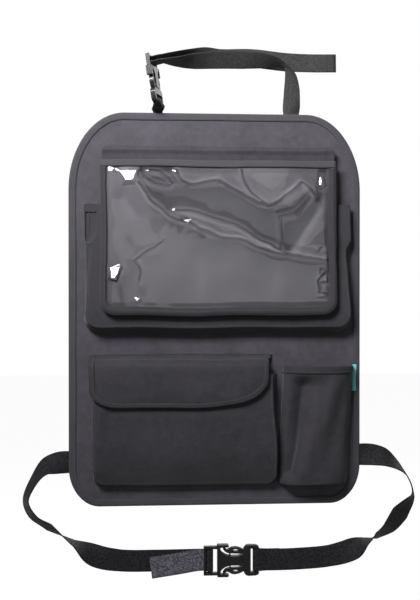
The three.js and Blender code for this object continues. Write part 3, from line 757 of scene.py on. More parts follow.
def linked(name: str, data: bpy.types.ID) -> bpy.types.Object:
    """Makes an object of a mesh, lamp or camera and puts it in the scene."""
    made = bpy.data.objects.new(name, data)
    bpy.context.scene.collection.objects.link(made)
    return made


@dataclass
class Shell:
    """Closed mesh with cloth coordinates, in millimetres."""

    points: np.ndarray
    uv: np.ndarray
    faces: list

    def build(self, name: str, material: bpy.types.Material) -> bpy.types.Object:
        """Makes the object.

        Args:
            name: The object's name.
            material: Its material.

        Returns:
            The object, shaded smooth.
        """
        mesh = bpy.data.meshes.new(name)
        mesh.from_pydata((softened(self.points) * MM).tolist(), [], self.faces)
        layer = mesh.uv_layers.new(name="cloth")
        corners = np.empty(len(mesh.loops), dtype=np.int32)
        mesh.loops.foreach_get("vertex_index", corners)
        layer.data.foreach_set("uv", (self.uv[corners] * MM).ravel())
        mesh.polygons.foreach_set("use_smooth", [True] * len(mesh.polygons))
        work = bmesh.new()
        work.from_mesh(mesh)
        bmesh.ops.remove_doubles(work, verts=work.verts, dist=0.0005 * MM)
        bmesh.ops.recalc_face_normals(work, faces=work.faces)
        work.to_mesh(mesh)
        work.free()
        mesh.materials.append(material)
        return linked(name, mesh)

    def joined(self, *others: "Shell") -> "Shell":
        """This shell and others as one.

        Args:
            *others: The other shells.

        Returns:
            The joined shell.
        """
        points, uv, faces = [self.points], [self.uv], list(self.faces)
        count = len(self.points)
        for other in others:
            points.append(other.points)
            uv.append(other.uv)
            faces.extend([[count + corner for corner in face] for face in other.faces])
            count += len(other.points)
        return Shell(np.concatenate(points), np.concatenate(uv), faces)


def quads_between(first: np.ndarray, second: np.ndarray) -> list:
    """Four-sided faces between two rows of point numbers."""
    return np.stack([first[:-1], first[1:], second[1:], second[:-1]], axis=1).tolist()


def thick_grid(front: np.ndarray, back: np.ndarray, uv: np.ndarray) -> Shell:
    """Cloth between two grids of points, with a rounded rim.

    Args:
        front: Points of the front, rows by columns.
        back: Points of the back.
        uv: Cloth coordinates of both.

    Returns:
        The closed shell.
    """
    rows, columns = front.shape[:2]
    numbers = np.arange(rows * columns).reshape(rows, columns)
    faces = []
    for row in range(rows - 1):
        faces += quads_between(numbers[row], numbers[row + 1])
        faces += quads_between(numbers[row] + rows * columns, numbers[row + 1] + rows * columns)
    rim = np.concatenate([numbers[0], numbers[1:, -1], numbers[-1, -2::-1], numbers[-2:0:-1, 0]])
    inside = np.concatenate([numbers[1], numbers[1:, -2], numbers[-2, -2::-1], numbers[-2:0:-1, 1]])
    front_flat, back_flat, uv_flat = front.reshape(-1, 3), back.reshape(-1, 3), uv.reshape(-1, 2)
    middle = (front_flat[rim] + back_flat[rim]) / 2
    through = (front_flat[rim] - back_flat[rim]) / 2
    away = middle - (front_flat[inside] + back_flat[inside]) / 2
    normal = through / np.linalg.norm(through, axis=1, keepdims=True)
    away -= normal * np.sum(away * normal, axis=1, keepdims=True)
    away /= np.maximum(np.linalg.norm(away, axis=1, keepdims=True), 1e-9)
    half = np.linalg.norm(through, axis=1, keepdims=True)
    rings = [rim]
    extra, count = [], 2 * rows * columns
    for angle in np.radians([45, 90, 135]):
        extra.append(middle + through * math.cos(angle) + away * half * math.sin(angle))
        rings.append(np.arange(count, count + len(rim)))
        count += len(rim)
    rings.append(rim + rows * columns)
    for first, second in zip(rings, rings[1:]):
        faces += quads_between(np.append(first, first[0]), np.append(second, second[0]))
    points = np.concatenate([front_flat, back_flat, *extra])
    return Shell(points, np.concatenate([uv_flat, uv_flat, *[uv_flat[rim]] * 3]), faces)


def skin(
    surface: Field, area: Outline, inner: float, outer: float, step: float = 3.0,
    relief: Optional[Field] = None,
) -> Shell:
    """Cloth between two offsets from a surface.

    Args:
        surface: The surface.
        area: The cloth's outline on it.
        inner: Offset of its back.
        outer: Offset of its front.
        step: Size of its mesh.
        relief: Wrinkles, as a further offset of both sides.

    Returns:
        The closed shell.
    """
    rim = area.drawn_in((outer - inner) / 2)
    levels = rim.levels(step)
    low, high = rim.span(levels)
    share = np.linspace(0, 1, 2 + int((area.right - area.left) / step))
    x = low[:, None] + (high - low)[:, None] * share
    t = np.repeat(levels[:, None], len(share), axis=1)
    more = relief(x, t) if relief else 0.0
    return thick_grid(
        lifted(surface, x, t, outer + more), lifted(surface, x, t, inner + more), np.stack([x, t], axis=-1),
    )


def swept(rings: np.ndarray, uv: np.ndarray, closed: bool) -> Shell:
    """Tube through closed rings of points.

    Args:
        rings: The points, rings by corners.
        uv: Cloth coordinates, one more column than the corners, for the seam.
        closed: Whether the last ring meets the first.

    Returns:
        The closed shell.
    """
    count, corners = rings.shape[:2]
    points = np.concatenate([rings, rings[:, :1]], axis=1).reshape(-1, 3)
    numbers = np.arange(count * (corners + 1)).reshape(count, corners + 1)
    faces = []
    for ring in range(count - 1):
        faces += quads_between(numbers[ring], numbers[ring + 1])
    if closed:
        faces += quads_between(numbers[-1], numbers[0])
    else:
        faces += [numbers[0, :-1].tolist(), numbers[-1, -2::-1].tolist()]
    return Shell(points, uv.reshape(-1, 2), faces)


def lengths(points: np.ndarray) -> np.ndarray:
    """Distance covered up to each point of a line."""
    return np.concatenate([[0.0], np.cumsum(np.linalg.norm(np.diff(points, axis=0), axis=1))])


def tape_profile(width: float, depth: float) -> np.ndarray:
    """Section of a tape folded over an edge, as (inwards, offset) points round it.

    Args:
        width: How far it reaches in from its nose, on both sides.
        depth: Its whole depth from front to back.

    Returns:
        The closed section, with its middle at offset 0.
    """
    half = depth / 2
    nose = min(half, width / 2)
    angles = np.linspace(0, math.pi, 13)
    flat = np.linspace(width, nose, 4, endpoint=False)

    def side(squeeze: float) -> np.ndarray:
        """One face of the tape, drawn in by its TAPE_THICK or not."""
        low = half - squeeze
        arc = np.stack([nose - (nose - squeeze) * np.sin(angles), low * np.cos(angles)], axis=1)
        front = np.stack([flat, np.full(len(flat), low)], axis=1)
        return np.concatenate([front, arc, (front * (1, -1))[::-1]])

    outer, inner = side(0.0), side(TAPE_THICK)[::-1]
    lip = np.array([[width + TAPE_THICK * 0.3, -half + TAPE_THICK / 2]])
    return np.concatenate([outer, lip, inner, lip * (1, -1)])


def edge_tape(
    surface: Field, path: np.ndarray, outward: np.ndarray, closed: bool, middle: float, width: float,
    depth: float, nose: float = 0.0,
) -> Shell:
    """Tape folded over the edge of a sewn piece.

    Args:
        surface: The piece's surface.
        path: The edge on it.
        outward: The edge's outward directions.
        closed: Whether the edge closes on itself.
        middle: Offset of the tape's middle from the surface.
        width: How far it reaches in from its nose.
        depth: Its whole depth.
        nose: How far its nose lies outside the path.

    Returns:
        The closed shell.
    """
    profile = tape_profile(width, depth)
    inwards = profile[:, 0] - nose
    x = path[:, :1] - outward[:, :1] * inwards
    t = path[:, 1:] - outward[:, 1:] * inwards
    rings = lifted(surface, x, t, middle + np.broadcast_to(profile[:, 1], x.shape))
    along = lengths(np.append(path, path[:1], axis=0))[:len(path)]
    across = lengths(np.append(profile, profile[:1], axis=0))
    grid = np.stack(np.meshgrid(along, across, indexing="ij"), axis=-1)
    return swept(rings, grid, closed)


def stitches(
    line: np.ndarray, normals: "np.ndarray | Sequence[float]", pitch: float = 3.4, thread: float = 0.5,
) -> Shell:
    """Row of sewn stitches that lie on a surface.

    Args:
        line: Points of the seam.
        normals: The surface's directions there, or the one that holds for all.
        pitch: Distance from one stitch to the next.
        thread: Thickness of the thread.

    Returns:
        The closed shells of all stitches as one.
    """
    along = lengths(line)
    count = max(int(along[-1] / pitch), 1)
    starts = (np.arange(count) + 0.5) * along[-1] / count
    length = 0.74 * pitch
    at = lambda distance, values: np.stack([np.interp(distance, along, row) for row in values.T], axis=-1)
    shares = np.array([-0.5, -0.38, 0, 0.38, 0.5])
    sizes = np.array([0.3, 0.8, 1.0, 0.8, 0.3])
    sinks = np.array([-0.35, 0.05, 0.3, 0.05, -0.35])
    angles = np.linspace(0, 2 * math.pi, 6, endpoint=False)
    middle = at(starts[:, None] + shares * length, line)
    up = at(starts[:, None] + shares * length, np.broadcast_to(normals, line.shape))
    ahead = middle[:, -1:] - middle[:, :1]
    side = np.cross(ahead, up)
    side /= np.linalg.norm(side, axis=-1, keepdims=True)
    half = (thread / 2 * sizes)[None, :, None, None]
    ring = (
        (middle + up * (sinks * thread)[None, :, None])[:, :, None]
        + side[:, :, None] * np.cos(angles)[:, None] * half
        + up[:, :, None] * np.sin(angles)[:, None] * half
    )
    rings, corners = len(shares), len(angles)
    one = np.arange(rings * corners).reshape(rings, corners)
    faces = [one[0].tolist(), one[-1, ::-1].tolist()]
    for low, high in zip(one, one[1:]):
        faces += quads_between(np.append(low, low[0]), np.append(high, high[0]))
    shift = rings * corners
    every = [[corner + shift * number for corner in face] for number in range(count) for face in faces]
    points = ring.reshape(-1, 3)
    return Shell(points, points[:, [0, 2]], every)


@dataclass
class Ribbon:
    """Webbing through stations of (place, direction of its width), on a smooth line, in millimetres."""

    width: float
    thickness: float = 1.5
    places: list = field(default_factory=list)
    directions: list = field(default_factory=list)
    widths: list = field(default_factory=list)

    def through(self, stations: Sequence, width: Optional[float] = None) -> "Ribbon":
        """Adds stations.

        Args:
            stations: Rows of x, y, z and the width's direction.
            width: Width there, if not the ribbon's own.

        Returns:
            The ribbon itself.
        """
        for station in stations:
            self.places.append(np.array(station[:3], dtype=float))
            self.directions.append(np.array(station[3:6], dtype=float))
            self.widths.append(width or self.width)
        return self

    def _line(self, samples: int) -> tuple[np.ndarray, np.ndarray, np.ndarray]:
        """Points of the centripetal line through the places, with width directions and widths.

        Args:
            samples: Samples between two stations.

        Returns:
            Points, directions and widths.
        """
        knots = np.array(self.places)
        first, last = 2 * knots[0] - knots[1], 2 * knots[-1] - knots[-2]
        knots = np.concatenate([[first], knots, [last]])
        points, directions, widths = [], [], []
        for span in range(len(self.places) - 1):
            four = knots[span:span + 4]
            times = np.concatenate([[0], np.cumsum(np.linalg.norm(np.diff(four, axis=0), axis=1) ** 0.5)])
            ends = samples + 1 if span == len(self.places) - 2 else samples
            for step in range(ends):
                share = step / samples
                now = times[1] + (times[2] - times[1]) * share
                mix = lambda a, b, low, high: a * (high - now) / (high - low) + b * (now - low) / (high - low)
                a1, a2, a3 = (mix(four[n], four[n + 1], times[n], times[n + 1]) for n in range(3))
                b1 = mix(a1, a2, times[0], times[2])
                b2 = mix(a2, a3, times[1], times[3])
                points.append(mix(b1, b2, times[1], times[2]))
                directions.append(self.directions[span] * (1 - share) + self.directions[span + 1] * share)
                widths.append(self.widths[span] * (1 - share) + self.widths[span + 1] * share)
        return np.array(points), np.array(directions), np.array(widths)

    def shell(self, samples: int) -> tuple[Shell, float]:
        """Makes the webbing.

        Args:
            samples: Rings between two stations.

        Returns:
            The closed shell and the webbing's length.
        """
        middle, across, width = self._line(samples)
        along = np.gradient(middle, axis=0)
        along /= np.linalg.norm(along, axis=1, keepdims=True)
        across -= along * np.sum(along * across, axis=1, keepdims=True)
        across /= np.linalg.norm(across, axis=1, keepdims=True)
        out = np.cross(along, across)
        half = self.thickness / 2
        flat = np.linspace(1, -1, 9)
        edge = np.radians([45, 90, 135])
        shares = np.concatenate([flat, -1 - 0 * edge, -flat, 1 + 0 * edge])
        reach = np.concatenate([0 * flat, -np.sin(edge), 0 * flat, np.sin(edge)]) * half
        lift = np.concatenate([1 + 0 * flat, np.cos(edge), -1 + 0 * flat, -np.cos(edge)]) * half
        spread = shares * (width[:, None] / 2 - half) + reach
        rings = middle[:, None] + across[:, None] * spread[..., None] + out[:, None] * lift[None, :, None]
        distance = lengths(middle)
        section = np.append(spread, spread[:, :1], axis=1)
        grid = np.stack([np.repeat(distance[:, None], section.shape[1], axis=1), section], axis=-1)
        return swept(rings, grid, False), float(distance[-1])


@dataclass
class Workshop:
    """Materials by slot, and the way pieces are tied to the frame."""

    materials: dict = field(default_factory=dict)
    made: list = field(default_factory=list)

    def material(self, finish: object) -> bpy.types.Material:
        """Material of a finish, made once."""
        if finish not in self.materials:
            self.materials[finish] = finish.material()
        return self.materials[finish]

    def tie(self, piece: bpy.types.Object, slot: Slot, nodes: Sequence[str] = ()) -> bpy.types.Object:
        """Ties a piece to the frame.

        Args:
            piece: The piece.
            slot: Its material slot; not used.
            nodes: The CAD nodes that it stands for.

        Returns:
            The piece.
        """
        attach(piece, BODY)
        if nodes:
            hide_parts(*nodes)
        self.made.append(piece.name)
        LOG.info("%s: %d faces", piece.name, len(piece.data.polygons))
        return piece

    def cloth(
        self, name: str, shell: Shell, finish: object, flat: Pair, held: Held, on: Sequence[str],
        share: Optional[float] = None,
    ) -> bpy.types.Object:
        """Makes one piece of cloth, tape, film or webbing, which stands for the CAD node of its name.

        Args:
            name: The piece's name.
            shell: Its mesh.
            finish: Its finish.
            flat: Width and length that it is cut to, in millimetres.
            held: How it is held; not used.
            on: Pieces that it lies on or hangs from.
            share: Part of the flat rectangle that is cloth, if it isn't all of it.

        Returns:
            The piece.
        """
        piece = shell.build(name, self.material(finish))
        self.tie(piece, finish.slot, [name.removesuffix("_look")])
        width, length = flat[0] * MM, flat[1] * MM
        area = None if share is None else share * width * length
        list(on)
        return piece

    def sew(self, name: str, *rows: Shell) -> bpy.types.Object:
        """Makes rows of stitches as one piece."""
        return self.tie(rows[0].joined(*rows[1:]).build(name, self.material(THREAD)), THREAD.slot)


CLOTH = ClothFinish(Slot.CLOTH, (0.0800, 0.0745, 0.0900))
# Painted shade: the pocket and sleeve colours are darker copies of the panel cloth, for parts that look
# shaded.
POCKET_CLOTH_PAINTED_SHADE = ClothFinish(Slot.CLOTH, (0.0430, 0.0405, 0.0480))
SLEEVE_CLOTH_PAINTED_SHADE = ClothFinish(Slot.CLOTH, (0.0600, 0.0560, 0.0680))
WELT = TapeFinish(Slot.TAPE, (0.074, 0.069, 0.080))
LINING = ClothFinish(Slot.LINING, (0.034, 0.033, 0.036), sheen=0.15)
TAPE = TapeFinish(Slot.TAPE, (0.074, 0.070, 0.081))
# Painted shade: a darker copy of the binding tape, for the pockets, the sleeve and the flap.
POCKET_TAPE_PAINTED_SHADE = TapeFinish(Slot.TAPE, (0.041, 0.0385, 0.045))
FILM = FilmFinish()
HOOK_LOOP = BristleFinish()
PLASTIC = PlasticFinish()
THREAD = ThreadFinish(Slot.TAPE)
TEAL = RibbonFinish()
HEM_INSET, HEM_HIGH = 1.3, 12.0


@dataclass
class Panel:
    """Bound panel: face cloth, lining, the tape round its edge, and its seams."""

    shop: Workshop
    area: Outline = Outline(-SIDE, SIDE, -TOP, TOP, (42, 54), (42, 54), (76, 105), (76, 105))
    tape_width: float = 10.0
    middle: float = -2.05
    depth: float = 6.3
    lining_seam: float = 34.8

    def relief(self, x: np.ndarray, t: np.ndarray) -> np.ndarray:
        """Slack of the face cloth, only where no pocket lies on it.

        Args:
            x, t: Places across and up the panel.

        Returns:
            How far the cloth stands out.
        """
        low, high = self.area.drawn_in(18).span(t)
        edge = fade(x, low, high, 14)
        edge *= ramp(self.area.top - 16 - t, 14) * ramp(t - self.area.bottom - 12, 10)
        strips = bump_at(x, t, (0, -42), (300, 14)) + bump_at(x, t, (0, -252), (300, 8))
        free = ramp(t - 150, 30) + strips
        waves = 0.5 + 0.5 * ripples(x, t, 62, 1, 0.7) + 0.18 * ripples(x, t, 17, 2)
        return 0.9 * edge * np.clip(free, 0, 1) * np.clip(waves, 0, 1)

    def build(self) -> None:
        """Makes the panel's pieces. The stiffener stays as its CAD solid and only gets its look."""
        board = bpy.data.objects["panel_board"]
        board.data.materials.clear()
        board.data.materials.append(self.shop.material(BoardFinish()))
        cut = self.area.drawn_in(REACH)
        flat = (cut.right - cut.left, cut.top - cut.bottom)
        face = skin(flat_at(PANEL_FRONT), cut, -CLOTH_THICK, 0, 2.6, self.relief)
        lining = skin(flat_at(-CLOTH_THICK), cut, -CLOTH_THICK, 0, 6)
        on = ["panel_board"]
        for name, cloth, finish in (("face", face, CLOTH), ("lining", lining, LINING)):
            self.shop.cloth(f"panel_{name}_look", cloth, finish, flat, Held.STRETCHED, on, share=0.97)
        path, outward = self.area.path(True, 90, 34)
        tape = edge_tape(flat_at(0.0), path, outward, True, -self.middle, self.tape_width, self.depth)
        run = lengths(path)[-1]
        self.shop.cloth(
            "edge_binding_look", tape, TAPE, (2 * self.tape_width + self.depth, run), Held.FOLDED,
            ["panel_face_look", "panel_lining_look"],
        )
        self._seams()

    def _seams(self) -> None:
        """Sews the tape on both sides, and the lining to the board."""
        line, outward = self.area.path(True, 90, 34)
        line = line - outward * (self.tape_width - 2.2)
        across, up = SIDE - self.lining_seam, TOP - self.lining_seam
        square, _ = Outline(-across, across, -up, up).path(True)
        front, back = self.middle - self.depth / 2, self.middle + self.depth / 2
        rows = []
        for seam, y, facing in ((line, front, -1.0), (line, back, 1.0), (square, 0.0, 1.0)):
            seam = np.append(seam, seam[:1], axis=0)
            points = np.insert(seam, 1, y, axis=1)
            rows.append(stitches(points, (0.0, facing, 0.0)))
        self.shop.sew("panel_stitches", *rows)


@dataclass
class Gusset:
    """Strip round the sides and bottom of a pocket, from the panel out to the pocket's front."""

    area: Outline
    flare: float
    front_at: Callable[[np.ndarray], np.ndarray]
    bulge: float = 0.0
    scoop: float = 0.0

    def shell(self, across: int) -> tuple[Shell, Pair]:
        """Makes the strip.

        Args:
            across: Rows from the panel to the front.

        Returns:
            The closed shell, and the strip's flat size.
        """
        path, outward = self.area.path(False, 26, 9)
        down = np.maximum(-outward[:, 1:], 0)
        share = np.linspace(0, 1, across)[None, :]
        height = path[:, 1:] + 0 * share
        front = self.front_at(path[:, 1])[:, None]
        depth = POCKET_BACK + (front - POCKET_BACK) * share
        lean = self.flare * down * (1 - share)
        swell = self.bulge * np.sin(np.pi * share)
        if self.scoop:
            lowest = self.area.bottom + self.area.low_left[1]
            cut = self.scoop * np.sqrt(np.clip(1 - ((share - 0.5) / 0.47) ** 2, 0, 1))
            squeeze = (self.area.top - cut - lowest) / (self.area.top - lowest)
            height = np.where(height > lowest, lowest + (height - lowest) * squeeze, height)

        def layer(inset: float) -> np.ndarray:
            """One face of the strip."""
            reach = lean + swell * 0.6 - inset
            x = path[:, :1] + outward[:, :1] * reach
            z = height + outward[:, 1:] * reach
            return np.stack([x, depth, z], axis=-1)

        along = lengths(path)
        uv = np.stack([along[:, None] + 0 * share, (front - POCKET_BACK) * -share], axis=-1)
        size = (float(np.mean(POCKET_BACK - front)), float(along[-1]))
        return thick_grid(layer(0.0), layer(CLOTH_THICK), uv), size


class BoxPocket:
    """What both box-shaped pockets share: a front on a gusset, a hem inside the mouth and a seam."""

    shop: Workshop
    area: Outline

    def make(
        self, name: str, gusset: tuple[Shell, Pair], hem_step: float, seam: tuple[float, int], top: float,
    ) -> None:
        """Makes the front, the gusset, the hem and the stitches.

        Args:
            name: Start of the pieces' names.
            gusset: The gusset's mesh and flat size.
            hem_step: Size of the hem's mesh.
            seam: How far in the stitches lie, and their points round a corner.
            top: Level where they end.
        """
        area, on = self.area, ["panel_face_look"]
        wide = area.right - area.left
        front = skin(self.front, area, -CLOTH_THICK, 0, 2.2, self.relief)
        self.shop.cloth(f"{name}_front_look", front, POCKET_CLOTH_PAINTED_SHADE, (wide, area.top - area.bottom), Held.HUNG, on)
        self.shop.cloth(f"{name}_gusset_look", gusset[0], POCKET_CLOTH_PAINTED_SHADE, gusset[1], Held.HUNG, on)
        hem = Outline(area.left + HEM_INSET, area.right - HEM_INSET, area.top - HEM_HIGH, area.top)
        strip = skin(self.front, hem, -CLOTH_THICK - HEM_INSET, -HEM_INSET, hem_step)
        flat = (wide, HEM_HIGH)
        self.shop.cloth(f"{name}_hem_look", strip, POCKET_TAPE_PAINTED_SHADE, flat, Held.FOLDED, [f"{name}_front_look"])
        edge, _ = area.drawn_in(seam[0], -4.0).path(False, 60, seam[1])
        edge = edge[edge[:, 1] < top]
        points = lifted(self.front, edge[:, 0], edge[:, 1], self.relief(edge[:, 0], edge[:, 1]))
        self.shop.sew(f"{name}_stitches", stitches(points, (0.0, -1.0, 0.0)))


@dataclass
class LargePocket(BoxPocket):
    """Big pocket behind the tablet sleeve, with puckered ears at the ends of its mouth."""

    shop: Workshop
    area: Outline = Outline(-178, 184, -24, 144, (20, 20), (20, 20))
    mouth_depth: float = 11.4
    bottom_depth: float = 23.0
    flare: float = 8.0
    ear: float = 52.0

    @property
    def slope(self) -> float:
        """How far the front leans out for each millimetre down."""
        return (self.bottom_depth - self.mouth_depth) / (self.area.top - self.area.bottom)

    def front(self, x: np.ndarray, t: np.ndarray) -> np.ndarray:
        """Front of the pocket."""
        y = PANEL_FRONT - self.mouth_depth - (self.area.top - t) * self.slope
        return np.stack([x + 0 * t, y + 0 * x, t + 0 * x], axis=-1)

    def relief(self, x: np.ndarray, t: np.ndarray) -> np.ndarray:
        """Ears, slack below the sleeve and pulls at the lower corners.

        Args:
            x, t: Places across the front, and its levels.

        Returns:
            How far the cloth stands out.
        """
        down = self.area.top - t
        shape = np.clip(1 - (np.clip(down, 0, None) / self.ear) ** 4, 0, 1) ** 0.25
        left = shape * 17 - (x - self.area.left)
        right = shape * 20 - (self.area.right - x)
        inside = ramp(left, 1.6) * (down < self.ear) * -3.2
        pleats = np.sin((x - self.area.left) * 1.15 + down * 0.05)
        folds = ramp(left, 5) * (down < self.ear) * 1.5 * pleats
        raised = ramp(right, 1.6) * (down < self.ear) * 0.9
        low = bump_at(x, t, (0, -16), (400, 9)) * (0.35 + 0.3 * ripples(x, t, 40, 4))
        pull = bump_at(x, t, (-160, 2), (26, 7), 50) * 0.8 + bump_at(x, t, (168, 2), (26, 7), -50) * 0.8
        return inside + folds + raised + low + pull * 0.5

    def build(self) -> None:
        """Makes the pocket's pieces."""
        back = lambda t: self.front(0 * t, t)[..., 1] + REACH
        gusset = Gusset(self.area, self.flare, back, 2.0, 26.0).shell(16)
        self.make("upper_pocket", gusset, 5, (2.6, 14), self.area.top - 4)


@dataclass(frozen=True)
class Fold:
    """Crease of the film: its line, how high it rises and how wide it is."""

    line: tuple[Pair, ...]
    rise: float
    width: float


@dataclass(frozen=True)
class Slack:
    """Area of the film's painted reflection: its corners, how pale it is painted, and the width of its soft
    edge.
    """

    corners: tuple[Pair, ...]
    milk: float
    soft: float


LONG_FOLD = (
    (-109, 177), (-90, 152), (-66, 132), (-48, 123), (-25, 116), (-10, 108), (14, 102), (38, 98), (56, 90),
    (74, 86), (98, 81), (122, 77), (146, 73),
)
MIDDLE_FOLD = ((-60, 142), (-31, 137), (-1, 129), (29, 117), (50, 105), (71, 92), (82, 90))
TOP_FOLD = (
    (-57, 197), (-51, 183), (-37, 176), (-19, 180), (-2, 184), (14, 174), (32, 164), (50, 152), (65, 148),
    (80, 153), (95, 167), (110, 179), (122, 173), (129, 165),
)
CREASES = (
    Fold(LONG_FOLD, 3.2, 10),
    Fold(MIDDLE_FOLD, 2.0, 5),
    Fold(
        ((-105, 197), (-101, 183), (-87, 176), (-72, 173), (-63, 176), (-69, 186), (-81, 192), (-95, 194)),
        1.5, 4,
    ),
    Fold(TOP_FOLD, 2.0, 5),
    Fold(((31, 197), (34, 180), (44, 164), (59, 152)), 1.4, 4),
    Fold(((80, 134), (101, 137), (113, 150), (122, 162)), 1.2, 4),
    Fold(((79, 134), (81, 111), (82, 90)), 0.8, 5),
    Fold(((-75, 101), (-90, 90), (-114, 73), (-105, 58), (-107, 46)), 0.9, 5),
    Fold(((143, 58), (132, 46), (134, 32), (146, 28)), 1.1, 4),
)
# Areas of painted reflection on the film, each set paler or clearer than the rest.
PAINTED_REFLECTION_AREAS = (
    Slack(
        ((-108, 202), (144, 202), (144, 162), (131, 138), (113, 111), (95, 83), *LONG_FOLD[9::-1]), 0.05, 2.0,
    ),
    Slack(((-62, 202), (134, 202), *TOP_FOLD[::-1]), 0.22, 2.0),
    Slack(((35, 200), (92, 200), (89, 177), (74, 156), (59, 152), (44, 164), (37, 180)), 0.34, 2.0),
    Slack((*MIDDLE_FOLD, *LONG_FOLD[8:3:-1]), 0.26, 1.6),
    Slack(
        ((80, 134), (101, 137), (122, 162), (129, 165), (134, 150), (113, 114), (95, 84), (82, 90)),
        0.05, 2.0,
    ),
    Slack(((92, 173), (119, 180), (122, 173), (95, 147), (83, 150)), 0.3, 4.0),
    Slack(((143, 167), (146, 147), (122, 108), (104, 83), (95, 86), (113, 111), (131, 138)), 0.42, 7.0),
    Slack(((119, 94), (145, 120), (146, 94)), 0.08, 2.0),
    Slack(
        ((-135, 150), (-123, 174), (-108, 175), (-90, 152), (-66, 132), (-87, 131), (-120, 126), (-132, 135)),
        0.36, 6.0,
    ),
    Slack(((-134, 202), (-109, 202), (-110, 176), (-125, 180)), 0.62, 1.6),
    Slack(((-153, 162), (-135, 150), (-126, 117), (-129, 70), (-153, 70)), 0.27, 9.0),
    Slack(((-153, 46), (-132, 46), (-126, 10), (-153, 10)), 0.16, 5.0),
)
# Flat facets of the film that catch the lamp: middle and size.
GLINTS = (
    ((-141, 56), (16, 19)), ((139, 52), (9, 15)), ((137, 28), (11, 7)), ((138, 88), (9, 7)),
    ((-121, 189), (24, 26)), ((-110, 21), (9, 6)), ((140, 184), (7, 20)), ((-46, 125), (9, 6)),
)


